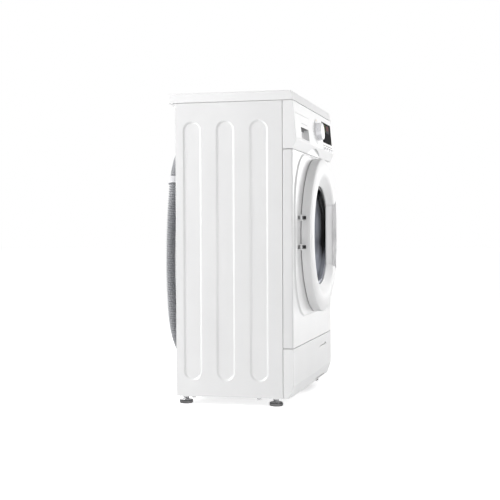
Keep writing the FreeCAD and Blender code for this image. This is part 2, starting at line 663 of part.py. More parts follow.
def boss_blank(name, inset, lift):
    """Raised boss: a wide rounded rectangle with a bevelled step, easing to a circle round the door."""
    a = boss_half_x.value - inset
    b = s.boss_half_z.value - inset
    r = s.boss_corner.value - inset
    circle = s.boss_circle.value - inset
    high_y = boss_y.value + lift
    centre = Vector(0, high_y, axis_z.value)
    flat = math.degrees(math.asin((b - r) / b))
    steep = math.degrees(math.acos((a - r) / a))
    quarters = list(enumerate(((1, 1), (-1, 1), (-1, -1), (1, -1))))

    def on_circle(angle):
        turn = math.radians(angle)
        return centre + Vector(math.cos(turn), 0, math.sin(turn)) * circle

    def straight(start, end):
        return Part.LineSegment(start, end).toShape()

    def bent(start, end):
        middle = (start + end) * 0.5 - centre
        return Part.Arc(start, centre + middle.normalize() * circle, end).toShape()

    def closed(arcs, bridge):
        edges = []
        for before, after in zip(arcs, arcs[1:] + arcs[:1]):
            edges += [before, bridge(before.Vertexes[-1].Point, after.Vertexes[0].Point)]
        return Part.Wire(edges)

    def rectangle(shrink, rise):
        bend = r - shrink
        x = a - r
        z = b - r
        arcs = []
        for quarter, (sx, sz) in quarters:
            corner = [(x + bend, z), (x + bend * math.sqrt(0.5), z + bend * math.sqrt(0.5)), (x, z + bend)]
            points = [Vector(sx * px, front_y.value + lift - rise, axis_z.value + sz * pz)
                      for px, pz in corner]
            arcs.append(Part.Arc(*(points if quarter % 2 == 0 else points[::-1])).toShape())
        return closed(arcs, straight)

    ring = []
    for quarter, _ in quarters:
        first, last = (flat, steep) if quarter % 2 == 0 else (90 - steep, 90 - flat)
        angles = [quarter * 90 + value for value in (first, (first + last) / 2, last)]
        ring.append(Part.Arc(*[on_circle(value) for value in angles]).toShape())
    feature = doc.addObject("Part::Feature", name)
    feature.Shape = Part.makeLoft([rectangle(0, 0), rectangle(s.boss_step.value, s.boss_step_high.value),
                                   closed(ring, bent)], True, True)
    return feature


def front_panel():
    low = kick_top
    high = console_low
    gap = s.front_gap / 2
    r = s.corner_radius
    t = s.sheet
    outer = [(-half, front_back_y), (-half, front_y + r), (r - half, front_y, r), (half - r, front_y),
             (half, front_y + r, r), (half, front_back_y)]
    inner = [(t - half, front_back_y + OVERCUT), (t - half, front_y + r), (r - half, front_y + t, r - t),
             (half - r, front_y + t), (half - t, front_y + r, r - t), (half - t, front_back_y + OVERCUT)]
    skin = prism("front_skin", "XY", [outer], low + gap, high - gap)
    hollow = prism("front_hollow", "XY", [inner], low + gap + t, high - gap - t)
    outside = fuse("front_outside", skin, boss_blank("boss_outside", 0, 0))
    inside = fuse("front_inside", hollow, boss_blank("boss_inside", t.value, t.value))
    hole = rod("door_hole", "y", 0, axis_z, s.dish_radius + t, boss_y - OVERCUT, boss_y + s.dish_depth)
    shell = cut("front_shell", outside, inside, hole)
    rim = 2 * t
    dish = [
        (boss_y, s.dish_radius + rim), (boss_y, s.dish_radius), (dish_y, s.dish_mouth),
        (dish_y, s.dish_mouth - s.dish_lip), (dish_y + t, s.dish_mouth - s.dish_lip),
        (dish_y + t, s.dish_mouth + t), (boss_y + t, s.dish_radius + t), (boss_y + t, s.dish_radius + rim),
    ]
    cuts = []
    for number, z in enumerate(hinge_heights):
        tall = s.arm_half + s.ear_gap + s.ear_thick + s.pocket_clear
        outer_x = hinge_x - s.bracket_reach - s.pocket_clear
        inner_x = hinge_x + s.ear_round + s.knuckle
        cuts.append(block(f"hinge_pocket_{number}", outer_x, inner_x, boss_y - OVERCUT, front_y + OVERCUT,
                          z - tall, z + tall))
    reach = s.hook_half + s.slot_clear
    tall = s.hook_high + s.slot_clear
    cuts.append(block("hook_slot", s.hook_x - reach, s.hook_x + reach, boss_y - OVERCUT, dish_y,
                      axis_z - tall,
                      axis_z + tall))
    rims = side_rims("front_rim", low + s.base_rise, high - s.base_rise)
    piece("front_panel", fuse("front", cut("front_cut", fuse("front_dished", shell,
                                                             turned("dish", "y", dish, z=axis_z)),
                                           *cuts), *rims))


def side_rims(name, z0, z1):
    """Inset tongues at both sides that close the shadow gap and meet the side panels' front flanges."""
    outer = half - s.rim_inset
    inner = outer - s.rim_width
    edge = half - s.sheet / 2
    start = front_back_y - s.rim_width
    return [block(f"{name}_left", -outer, -inner, start, seam_y, z0, z1),
            block(f"{name}_left_foot", -edge, -inner, start, front_back_y, z0, z1),
            block(f"{name}_right", inner, outer, start, seam_y, z0, z1),
            block(f"{name}_right_foot", inner, edge, start, front_back_y, z0, z1)]


bevel_z = place("bevel_z", bottom_z + s.bevel_high)
flap_axis_z = place("flap_axis_z", s.flap_low + s.flap_foot + s.flap_pin_rise - s.flap_pin)


def bevel_y(z):
    """Y of the kick panel's sloping foot at a height."""
    return front_y + (bevel_z - z) * s.bevel_depth / s.bevel_high


flap_axis_y = place("flap_axis_y", bevel_y(flap_axis_z) + s.flap_pin_depth)


def kick_panel():
    low = bottom_z + s.panel_gap / 2
    high = kick_top - s.front_gap / 2
    w = s.wall
    profile = [(front_back_y, low), (bevel_y(low), low), (front_y, bevel_z), (front_y, high),
               (front_back_y, high)]
    cavity = [(front_back_y + OVERCUT, low + w), (bevel_y(low + w) + w, low + w), (front_y + w, bevel_z),
              (front_y + w, high - w), (front_back_y + OVERCUT, high - w)]
    skin = prism("kick_skin", "YZ", [profile], -half, half)
    limit = half.value - NEAR
    round_edges(skin, s.console_edge, lambda edge: abs(edge.CenterOfMass.x) > limit and
                edge.BoundBox.YMax < front_back_y.value - 1 and edge.BoundBox.ZLength > 1)
    hollow = prism("kick_hollow", "YZ", [cavity], w - half, half - w)
    span = (front_y - OVERCUT, front_back_y)
    opening = block("flap_opening", s.flap_left, s.flap_right, *span, s.flap_low, flap_high)
    pocket_y = front_y + s.notch_deep
    x0 = s.flap_left + s.notch_inset
    x1 = s.flap_right - s.notch_inset
    pocket = block("notch_pocket", x0 - w, x1 + w, front_y + w / 2, pocket_y + w, flap_high,
                   flap_high + s.notch_high + w)
    space = block("notch_space", x0, x1, front_y - OVERCUT, pocket_y, flap_high - OVERCUT,
                  flap_high + s.notch_high)
    skin = cut("kick_hollowed", skin, hollow, opening)
    shell = cut("kick_shell", fuse("kick_pocketed", skin, pocket), space)
    cheeks = []
    bores = []
    for name, x0 in (("left_cheek", s.flap_left - s.cheek_width), ("right_cheek", s.flap_right)):
        x1 = x0 + s.cheek_width
        cheeks.append(block(name, x0, x1, bevel_y(flap_axis_z) + w / 2, flap_axis_y + s.cheek_reach,
                            flap_axis_z - s.cheek_reach, flap_axis_z + s.cheek_reach))
        bores.append(rod(f"{name}_bore", "x", flap_axis_y, flap_axis_z, s.flap_pin + s.run_clear,
                         x0 - OVERCUT, x1 + OVERCUT))
    rims = side_rims("kick_rim", bevel_z, high - s.base_rise)
    piece("kick_panel", fuse("kick", cut("kick_cheeked", fuse("kick_full", shell, *cheeks), *bores), *rims))


def filter_flap():
    gap = s.panel_gap
    w = s.wall
    low = s.flap_low + s.flap_foot
    high = flap_high - gap
    x0 = s.flap_left + gap
    x1 = s.flap_right - gap
    profile = [(bevel_y(low), low), (bevel_y(low) + w, low), (front_y + w, bevel_z), (front_y + w, high),
               (front_y, high), (front_y, bevel_z)]
    door = prism("flap_panel", "YZ", [profile], x0, x1)
    ears = [block(f"flap_ear_{number}", x, x + s.cheek_width, bevel_y(flap_axis_z) + w / 2, flap_axis_y,
                  flap_axis_z - s.flap_pin, flap_axis_z + s.flap_pin)
            for number, x in enumerate((x0, x1 - s.cheek_width))]
    pin_reach = s.cheek_width - gap
    pin_rod = rod("flap_rod", "x", flap_axis_y, flap_axis_z, s.flap_pin, s.flap_left - pin_reach,
                  s.flap_right + pin_reach)
    piece("filter_flap", fuse("flap", door, *ears, pin_rod))


pump_front_y = place("pump_front_y", seam_y + s.pump_front)
pump_back_y = place("pump_back_y", pump_front_y + s.pump_length)


def drain_pump():
    bore = s.filter_plug + s.rod_clear
    profile = [
        (pump_front_y, bore), (pump_front_y, s.pump_radius), (pump_back_y, s.pump_radius),
        (pump_back_y, s.pump_motor_radius), (pump_back_y + s.motor_length, s.pump_motor_radius),
        (pump_back_y + s.motor_length, 0), (pump_front_y + 2 * s.filter_plug_long, 0),
        (pump_front_y + 2 * s.filter_plug_long, bore),
    ]
    case = turned("pump_case", "y", profile, x=s.pump_x, z=pump_z)
    spout_top = pump_z + s.pump_radius + s.inlet_spout
    spout = rod("pump_spout", "z", s.pump_x, s.sump_y, s.sump_radius, pump_z + s.pump_radius / 2, spout_top)
    port = rod("pump_port", "x", pump_back_y - s.pump_foot, pump_z, s.drain_inner,
               s.pump_x - s.pump_radius - s.inlet_spout, s.pump_x)
    half_foot = s.pump_foot / 2
    feet_blocks = [block(f"pump_foot_{number}", s.pump_x - s.pump_foot, s.pump_x + s.pump_foot,
                         y - half_foot,
                         y + half_foot, floor_z, pump_z - s.pump_radius / 2)
                   for number, y in enumerate((pump_front_y + s.pump_foot, pump_back_y - 2 * s.pump_foot))]
    inside = rod("pump_chamber", "y", s.pump_x, pump_z, bore, pump_front_y - OVERCUT,
                 pump_front_y + 2 * s.filter_plug_long)
    piece("drain_pump", cut("pump", fuse("pump_solid", case, spout, port, *feet_blocks), inside))


def pump_filter():
    gap = s.seat_gap
    edge = s.foot_edge
    grip_y = pump_front_y - gap - s.filter_thick
    profile = [
        (grip_y, 0), (grip_y, s.filter_radius - edge), (grip_y + edge, s.filter_radius),
        (pump_front_y - gap, s.filter_radius),
        (pump_front_y - gap, s.filter_plug), (pump_front_y + s.filter_plug_long, s.filter_plug),
        (pump_front_y + s.filter_plug_long, 0),
    ]
    disc = turned("filter_disc", "y", profile, x=s.pump_x, z=pump_z)
    grip = block("filter_grip", s.pump_x - s.filter_plug, s.pump_x + s.filter_plug, grip_y - s.grip_high,
                 grip_y + edge,
                 pump_z - s.grip_width / 2, pump_z + s.grip_width / 2)
    piece("pump_filter", fuse("filter", disc, grip))


def console():
    low = console_low + s.front_gap / 2
    w = s.wall
    profile = [(front_back_y, low), (front_y, low), (bulge_y, bulge_z), (face_y(top_z), top_z),
               (front_back_y, top_z)]
    lean_wall = w * face_length / face_rise
    cavity = [
        (front_back_y + OVERCUT, low + w), (front_y + w, low + w), (front_y + w, bulge_z - 2 * w),
        (bulge_y + lean_wall, bulge_z), (face_y(top_z - w) + lean_wall, top_z - w),
        (front_back_y + OVERCUT, top_z - w),
    ]
    skin = prism("console_skin", "YZ", [profile], -half, half)
    limit = half.value - NEAR
    round_edges(skin, s.console_edge, lambda edge: abs(edge.CenterOfMass.x) > limit and
                edge.BoundBox.YMax < front_back_y.value - 1 and edge.BoundBox.ZLength > 1)
    hollow = prism("console_hollow", "YZ", [cavity], w - half, half - w)
    gap = s.panel_gap
    drawer_hole = block("drawer_hole", drawer_x0 - gap, drawer_x1 + gap, bulge_y - OVERCUT, front_back_y,
                        bulge_z + s.drawer_low - gap, bulge_z + s.drawer_high + gap)
    scallop = rod("door_scallop", "y", 0, axis_z, s.scallop, bulge_y - OVERCUT, front_y)
    recess = block("window_recess", window_x0 - s.seat_gap, window_x1 + s.seat_gap, -OVERCUT,
                   s.window_thick + s.seat_gap, s.window_low - s.seat_gap, s.window_high + s.seat_gap)
    rebate = s.window_rebate
    sight = block("window_sight", window_x0 + rebate, window_x1 - rebate, -OVERCUT, 2 * w,
                  s.window_low + rebate, s.window_high - rebate)
    shaft_hole = rod("knob_hole", "y", knob_x, s.knob_up, s.knob_shaft + s.key_clear, -OVERCUT, 2 * w)
    clear = s.key_clear
    key_holes = [prism(f"key_hole_{number}", "XZ",
                       [rounded_box(x - clear, x + s.key_width + clear, s.key_up - clear,
                                    s.key_up + s.key_high + clear, s.key_corner + clear)], -OVERCUT, 3 * w)
                 for number, x in enumerate(key_lefts)]
    face_cuts = lean(fuse("console_face_cuts", recess, sight, shaft_hole, *key_holes))
    rims = side_rims("console_rim", low + s.base_rise / 2, top_z - s.base_rise / 2)
    shell = cut("console_shell", skin, hollow, drawer_hole, scallop, face_cuts)
    piece("console", fuse("console_body", shell, *rims))


key_row_x = place("key_row_x", (window_x0 + window_x1) / 2
                  - ((len(KEY_NAMES) - 1) * s.key_pitch + s.key_width) / 2)
key_lefts = [key_row_x + number * s.key_pitch for number in range(len(KEY_NAMES))]


def console_fittings():
    window = block("window_pane", window_x0, window_x1, 0, s.window_thick, s.window_low, s.window_high)
    piece("display_window", lean(group("window", window)))
    margin = s.module_margin
    front = s.wall + s.seat_gap
    case = block("module_case", knob_x - s.module_lead, window_x1 + margin, front, front + s.module_depth,
                 s.window_low - margin, s.window_high + margin)
    shaft_way = rod("module_bore", "y", knob_x, s.knob_up, s.knob_shaft + s.key_clear, front - OVERCUT,
                    s.knob_shaft_long + OVERCUT)
    piece("control_module", lean(group("module", cut("module_cut", case, shaft_way))))
    high = s.bezel_high
    hole = s.knob_radius + s.key_clear
    ring = [(-high, hole), (-high, s.bezel_radius - high / 2), (-high / 2, s.bezel_radius),
            (0, s.bezel_radius),
            (0, hole)]
    piece("dial_bezel", lean(turned("bezel", "y", ring), knob_x, s.knob_up))


def program_knob():
    high = s.knob_high
    top = s.knob_radius - s.knob_taper
    crown = s.knob_crown
    profile = [
        (-s.seat_gap, s.knob_shaft), (-s.seat_gap, s.knob_radius), (crown - high, top),
        (-high, top - crown, crown), (-high, 0), (s.knob_shaft_long, 0), (s.knob_shaft_long, s.knob_shaft),
    ]
    knob = turned("knob_turned", "y", profile)
    mark = block("knob_mark", -s.mark_width / 2, s.mark_width / 2, -high - OVERCUT, s.mark_depth - high,
                 s.knob_radius / 2,
                 s.knob_radius + OVERCUT)
    piece("program_knob", lean(group("knob", cut("knob_cut", knob, mark)), knob_x, s.knob_up))


def keys():
    for name, x in zip(KEY_NAMES, key_lefts):
        cap = prism(f"{name}_cap", "XZ",
                    [rounded_box(x, x + s.key_width, s.key_up, s.key_up + s.key_high, s.key_corner)],
                    -s.key_proud, s.key_long - s.key_proud)
        piece(name, lean(group(f"{name}_body", cap)))


# Detergent drawer

drawer_back_y = place("drawer_back_y", bulge_y + s.drawer_thick)
housing_z = place("housing_z", bulge_z + s.drawer_low - s.housing_wall)
housing_front_y = place("housing_front_y", drawer_back_y + s.housing_gap)
tray_z = place("tray_z", housing_z + s.housing_wall + s.seat_gap)
housing_x0 = place("housing_x0", drawer_x0 + s.housing_side)
housing_x1 = place("housing_x1", drawer_x1 - s.housing_side)


def detergent_drawer():
    low = bulge_z + s.drawer_low
    high = bulge_z + s.drawer_high
    front = [(face_y(low), low), (drawer_back_y, low), (drawer_back_y, high), (face_y(high), high)]
    slab = prism("drawer_slab", "YZ", [front], drawer_x0, drawer_x1)
    p0 = bulge_z + s.pull_low
    p1 = bulge_z + s.pull_high
    deep = bulge_y + s.pull_depth
    pull = [
        (face_y(p0) - OVERCUT, p0), (face_y(p0), p0), (deep, p0 + s.pull_sweep, s.pull_depth),
        (deep, p1 + s.pull_undercut), (face_y(p1) + s.pull_lip, p1 + s.pull_undercut),
        (face_y(p1) + s.pull_lip, p1), (face_y(p1) - OVERCUT, p1),
    ]
    scoop = prism("drawer_pull", "YZ", [pull], pull_x0, pull_x1)
    piece("drawer_front", cut("drawer_face", slab, scoop))
    wall = s.tray_wall
    side = s.housing_wall + s.tray_side
    x0 = housing_x0 + side
    x1 = housing_x1 - side
    y1 = s.housing_back - s.tray_back
    blank = block("tray_blank", x0, x1, drawer_back_y, y1, tray_z, tray_z + s.tray_high)
    split = x0 + (x1 - x0) * s.cup_split
    cross = drawer_back_y + (y1 - drawer_back_y) * s.cup_back
    floor = tray_z + wall
    roof = tray_z + s.tray_high + OVERCUT
    cups = [
        block("main_cup", x0 + wall, split - wall / 2, drawer_back_y + wall, y1 - wall, floor, roof),
        block("prewash_cup", split + wall / 2, x1 - wall, drawer_back_y + wall, cross - wall / 2, floor,
              roof),
        block("softener_cup", split + wall / 2, x1 - wall, cross + wall / 2, y1 - wall, floor, roof),
    ]
    piece("drawer_tray", cut("tray", blank, *cups))


def dispenser_housing():
    w = s.housing_wall
    high = housing_z + s.housing_high
    blank = block("housing_blank", housing_x0, housing_x1, housing_front_y, s.housing_back, housing_z, high)
    inside = block("housing_inside", housing_x0 + w, housing_x1 - w, housing_front_y - OVERCUT,
                   s.housing_back - w,
                   housing_z + w, high - w)
    lug = block("housing_lug", s.sheet - half, housing_x0 + w, s.housing_back - 2 * s.lug_width,
                s.housing_back - s.lug_width, high - s.lug_high, high)
    drain = rod("housing_drain", "z", s.drop_x, s.drop_y, s.drop_radius - s.bellows_wall,
                housing_z - OVERCUT,
                housing_z + w + OVERCUT)
    jet = rod("housing_jet", "y", s.inlet_x, top_z - s.inlet_drop, s.fill_radius - s.fill_wall,
              s.housing_back - w - OVERCUT, s.housing_back + OVERCUT)
    piece("dispenser_housing", fuse("housing", cut("housing_shell", blank, inside, drain, jet), lug))


# Rear fittings

outlet_x = place("outlet_x", as_size(HOSE_ROUTE[0][0]) + s.outlet_reach)
outlet_y = place("outlet_y", panel_y + HOSE_ROUTE[0][1])
outlet_z = as_size(HOSE_ROUTE[0][2])
inlet_z = place("inlet_z", top_z - s.inlet_drop)


def rear_fittings():
    collar = 2 * s.sheet
    inner_y = panel_y - s.sheet
    spigot = rod("inlet_spigot", "y", s.inlet_x, inlet_z, s.inlet_radius, inner_y - collar,
                 panel_y + collar + s.inlet_long)
    ring = rod("inlet_ring", "y", s.inlet_x, inlet_z, s.inlet_collar, panel_y, panel_y + collar)
    valve_y = inner_y - s.seat_gap - s.inlet_body
    solenoid = block("inlet_block", s.inlet_x - s.inlet_block, s.inlet_x + s.inlet_block, valve_y,
                     inner_y - s.seat_gap, inlet_z - s.inlet_block, inlet_z + s.inlet_block)
    way = rod("inlet_way", "y", s.inlet_x, inlet_z, s.fill_radius, inner_y,
              panel_y + collar + s.inlet_long + OVERCUT)
    piece("inlet_valve", cut("valve", fuse("valve_solid", spigot, ring, solenoid), way))
    tube = rod("fill_tube", "y", s.inlet_x, inlet_z, s.fill_radius, s.housing_back, valve_y)
    bore = rod("fill_bore", "y", s.inlet_x, inlet_z, s.fill_radius - s.fill_wall, s.housing_back - OVERCUT,
               valve_y + OVERCUT)
    piece("fill_hose", cut("fill", tube, bore))
    gland = [
        (inner_y - collar, s.gland_bore), (inner_y - collar, s.gland_radius), (panel_y, s.gland_radius),
        (panel_y, s.gland_flange), (panel_y + collar, s.gland_flange),
        (panel_y + s.gland_long, s.gland_radius - collar),
        (panel_y + s.gland_long, s.gland_bore),
    ]
    piece("cord_gland", turned("gland", "y", gland, x=gland_x, z=gland_z))
    flange = rod("outlet_plate", "y", outlet_x, outlet_z, s.outlet_flange, panel_y, panel_y + collar)
    stub = rod("outlet_stub", "y", outlet_x, outlet_z, s.outlet_radius, inner_y - s.outlet_reach, outlet_y)
    elbow = doc.addObject("Part::Sphere", "outlet_elbow")
    bind(elbow, "Radius", s.outlet_radius)
    put(elbow, outlet_x, outlet_y, outlet_z)
    arm = rod("outlet_arm", "x", outlet_y, outlet_z, s.outlet_radius, outlet_x - s.outlet_reach, outlet_x)
    piece("drain_outlet", fuse("outlet", flange, stub, elbow, arm))


def inner_drain_hose():
    """Hose from the pump's side port along the base to the elbow in the back panel."""
    port_x = s.pump_x - s.pump_radius - s.inlet_spout
    port_y = pump_back_y - s.pump_foot
    end_y = panel_y - s.sheet - s.outlet_reach
    bend = 3 * s.drain_inner
    spots = [Vector(port_x.value, port_y.value, pump_z.value),
             Vector(outlet_x.value, port_y.value, pump_z.value),
             Vector(outlet_x.value, end_y.value - bend.value, outlet_z.value),
             Vector(outlet_x.value, end_y.value, outlet_z.value)]
    path, _ = rounded_path(spots)
    start = spots[1] - spots[0]
    feature = doc.addObject("Part::Feature", "inner_hose")
    outer = Part.Wire(Part.makeCircle(s.drain_inner.value, spots[0], start))
    inner = Part.Wire(Part.makeCircle(s.drain_inner.value - s.drain_inner_wall.value, spots[0], start))
    feature.Shape = path.makePipeShell([outer], True, True).cut(path.makePipeShell([inner], True, True))
    piece("inner_drain_hose", feature)


# Drain hose

def drain_hose():
    """Corrugated hose: a ruled skin through rib circles along the rounded route, with a plain bore."""
    path = hose_path.translated(Vector(0, panel_y.value, 0))
    length = path.Length
    print("hose length", round(length), "arc radii", [round(radius) for radius in hose_radii])
    cuff = s.hose_cuff.value
    count = int((length - 2 * cuff) / s.hose_pitch.value)
    pitch = (length - 2 * cuff) / count
    stations = [(0.0, s.cuff_radius.value), (cuff, s.cuff_radius.value)]
    for number in range(count):
        start = cuff + number * pitch
        for share, radius in ((RIB_FOOT, s.hose_root), (RIB_TOP, s.hose_radius),
                              (1 - RIB_TOP, s.hose_radius),
                              (1 - RIB_FOOT, s.hose_root)):
            stations.append((start + share * pitch, radius.value))
    stations += [(length - cuff, s.cuff_radius.value), (length, s.cuff_radius.value)]
    frames = path_frames(path, [station for station, _ in stations])
    rings = [hose_ring(*frame, radius) for frame, (_, radius) in zip(frames, stations)]
    skin = Part.makeLoft(rings, True, True)
    steps = 4 * len(HOSE_ROUTE)
    bore_at = [number * length / steps for number in range(steps + 1)]
    bore = Part.makeLoft([hose_ring(*frame, s.hose_bore.value) for frame in path_frames(path, bore_at)],
                         True, True)
    feature = doc.addObject("Part::Feature", "hose")
    feature.Shape = skin.cut(bore)
    mean = (s.hose_radius.value + s.hose_root.value) / 2
    print("hose volume", round(feature.Shape.Volume), "about",
          round(math.pi * (mean ** 2 - s.hose_bore.value ** 2) * length))
    piece("drain_hose", feature)


def hose_ring(point, direction, radius):
    """Circle across the route whose seam keeps a steady side."""
    side = Vector(0, 1, 0).cross(direction)
    circle = Part.Circle(point, direction, radius)
    circle.XAxis = side
    return Part.Wire(circle.toShape())


def hose_clips():
    """Snap clips that hold the hose to the back panel at two places along it."""
    clips = []
    wide = s.clip_wide.value
    foot = s.clip_foot.value
    inner = s.hose_radius.value + s.clip_clear.value
    for number, share in enumerate(CLIP_PLACES):
        point, direction = clip_spot(hose_path, share)
        stand = point.y
        point.y += panel_y.value
        start = point - direction * (wide / 2)
        ring = Part.makeCylinder(clip_radius.value, wide, start, direction)
        stem = Part.makeBox(foot, stand, foot, Vector(point.x - foot / 2, panel_y.value,
                                                      point.z - foot / 2))
        hole = Part.makeCylinder(inner, wide + 2 * OVERCUT, start - direction * OVERCUT, direction)
        clip = doc.addObject("Part::Feature", f"clip_{number}")
        clip.Shape = ring.fuse(stem).cut(hole).removeSplitter()
        clips.append(clip)
    piece("hose_clips", group("clips", *clips))


# Door

def door():
    R = s.door_radius
    w = s.door_wall
    rim_y = door_back_y - s.door_side
    corner = s.door_corner
    funnel_y = crest_y + s.funnel_drop
    seat_y = crest_y + s.glass_drop
    profile = [
        (door_back_y, R), (rim_y, R), (rim_y - corner, R - corner, corner),
        (crest_y, s.crest_radius, s.dome_arc),
        (funnel_y, s.funnel_radius, s.funnel_arc), (seat_y, s.glass_open), (seat_y + w, s.glass_open),
        (funnel_y + w, s.funnel_radius + w / 2), (crest_y + w, s.crest_radius),
        (rim_y - corner + w, R - corner - w),
        (rim_y, R - w), (door_back_y, R - w),
    ]
    ring = turned("ring_turned", "y", profile, z=axis_z)
    opening = prism("handle_window", "XZ", [handle_outline(s.seat_gap)], crest_y - OVERCUT, back_ring_y)
    clear = s.notch_clear
    tall = s.arm_half + clear
    notches = [block(f"arm_notch_{number}", -R - OVERCUT, hinge_x + s.arm_reach + clear,
                     back_ring_y - s.seat_gap - s.arm_thick - s.notch_lead,
                     door_back_y + OVERCUT, z - tall, z + tall) for number, z in enumerate(hinge_heights)]
    piece("door_ring", cut("ring", ring, opening, *notches))

    inner = s.back_inner
    plate = [(door_back_y, inner), (door_back_y, R - w - s.seat_gap), (back_ring_y, R - w - s.seat_gap),
             (back_ring_y, inner)]
    piece("door_back_ring", turned("back_ring", "y", plate, z=axis_z))

    t = s.glass_wall
    flange_y = back_ring_y - s.seat_gap
    front_flange = seat_y + w + s.seat_gap
    neck_y = bowl_neck_y
    tip_y = bowl_tip_y
    rb = s.bowl_round
    bowl = [
        (front_flange, s.glass_flange), (front_flange, s.bowl_root - t), (neck_y, s.bowl_neck - t),
        (tip_y - t, s.bowl_tip - t), (tip_y + rb - t, s.bowl_tip - t - rb, rb + t), (tip_y + rb - t, 0),
        (tip_y + rb, 0), (tip_y + rb, s.bowl_tip - rb), (tip_y, s.bowl_tip, -rb - t), (neck_y, s.bowl_neck),
        (flange_y, s.bowl_root), (flange_y, s.glass_flange),
    ]
    piece("door_glass", turned("bowl", "y", bowl, z=axis_z))

    handle_cup(seat_y + w)


def handle_outline(grow):
    """Outline of the handle seen from the front, flaring towards the rim of the door."""
    x0 = s.glass_open - s.handle_over - grow
    x1 = s.crest_radius + grow
    inner = s.handle_half_in + grow
    outer = s.handle_half_out + grow
    return [(x0, axis_z - inner), (x1, axis_z - outer), (x1, axis_z + outer), (x0, axis_z + inner)]


def handle_cup(glass_y):
    """Sloping plate beside the glass with a wall under the ring's edge, notched for the fingertips."""
    x0 = s.glass_open - s.handle_over
    x1 = s.crest_radius
    wall_x = x1 - s.handle_wall
    step_x = s.glass_flange + s.notch_clear
    floor_y = back_ring_y - s.seat_gap
    foot_y = crest_y + s.handle_sink_out
    lip_y = crest_y + s.handle_lip
    side = [(x0, crest_y + s.handle_sink_in), (wall_x, foot_y), (wall_x, lip_y), (x1, lip_y), (x1, floor_y),
            (step_x, floor_y), (step_x, glass_y), (x0, glass_y)]
    reach = s.handle_half_out + OVERCUT
    plate = prism("handle_plate", "XY", [side], axis_z - reach, axis_z + reach)
    ends = prism("handle_ends", "XZ", [handle_outline(0)], crest_y - OVERCUT, floor_y + OVERCUT)
    grip = block("handle_grip", wall_x - s.handle_wall, x1 + OVERCUT, foot_y - s.grip_deep,
                 foot_y + s.handle_wall,
                 axis_z - s.grip_half, axis_z + s.grip_half)
    piece("handle_cup", cut("cup", common("cup_solid", plate, ends), grip))


def door_hinge():
    arms = []
    brackets = []
    for number, z in enumerate(hinge_heights):
        low = z - s.arm_half
        high = z + s.arm_half
        knuckle = rod(f"knuckle_{number}", "z", hinge_x, hinge_y, s.knuckle, low, high)
        strap_y = back_ring_y - s.seat_gap
        strap = block(f"strap_{number}", hinge_x, hinge_x + s.arm_reach, strap_y - s.arm_thick, strap_y,
                      low, high)
        eye = rod(f"eye_{number}", "z", hinge_x, hinge_y, s.pin_radius + s.run_clear, low - OVERCUT,
                  high + OVERCUT)
        arms.append(cut(f"arm_{number}", fuse(f"arm_solid_{number}", knuckle, strap), eye))
        inside = s.arm_half + s.ear_gap
        outside = inside + s.ear_thick
        rear = front_y + s.bracket_deep - s.boss_height
        x0 = hinge_x - s.bracket_reach
        x1 = hinge_x + s.ear_round
        e = s.ear_round
        flush_y = boss_y + s.ear_gap
        ear = [(x0, rear), (x0, flush_y), (hinge_x - e, hinge_y), (hinge_x, hinge_y - e, e),
               (x1, hinge_y, e),
               (x1, rear)]
        top = prism(f"ear_top_{number}", "XY", [ear], z + inside, z + outside)
        bottom = prism(f"ear_bottom_{number}", "XY", [ear], z - outside, z - inside)
        web = block(f"ear_web_{number}", x0, x1, rear - s.ear_thick, rear, z - outside, z + outside)
        cover = block(f"ear_cover_{number}", x0, hinge_x - s.knuckle - s.ear_gap, flush_y, rear, z - inside,
                      z + inside)
        pivot = rod(f"hinge_pin_{number}", "z", hinge_x, hinge_y, s.pin_radius, z - outside, z + outside)
        brackets.append(fuse(f"bracket_{number}", top, bottom, web, cover, pivot))
    piece("hinge_arms", group("arms", *arms))
    piece("hinge_brackets", group("brackets", *brackets))


def door_latch():
    half_hook = s.hook_half
    tip_y = door_back_y + s.hook_reach
    barb = s.hook_barb
    outline = [
        (s.hook_x - half_hook, door_back_y), (s.hook_x + half_hook, door_back_y),
        (s.hook_x + half_hook, tip_y - 2 * barb),
        (s.hook_x + half_hook + barb, tip_y - 2 * barb), (s.hook_x + half_hook, tip_y),
        (s.hook_x - half_hook, tip_y),
    ]
    piece("door_hook", prism("hook", "XY", [outline], axis_z - s.hook_high, axis_z + s.hook_high))
    lock_x = s.hook_x - s.lock_lead
    lock_y = boss_y + (s.dish_radius - lock_x) * s.dish_depth / (s.dish_radius - s.dish_mouth) + 2 * s.sheet
    case = block("lock_case", lock_x, lock_x + s.lock_wide, lock_y, lock_y + s.lock_deep,
                 axis_z - s.lock_high,
                 axis_z + s.lock_high)
    reach = half_hook + s.slot_clear
    mouth = block("lock_mouth", s.hook_x - reach, s.hook_x + reach, lock_y - OVERCUT, tip_y + barb,
                  axis_z - s.hook_high - s.slot_clear,
                  axis_z + s.hook_high + s.slot_clear)
    piece("door_lock", cut("lock", case, mouth))


# Tub, drum and drive

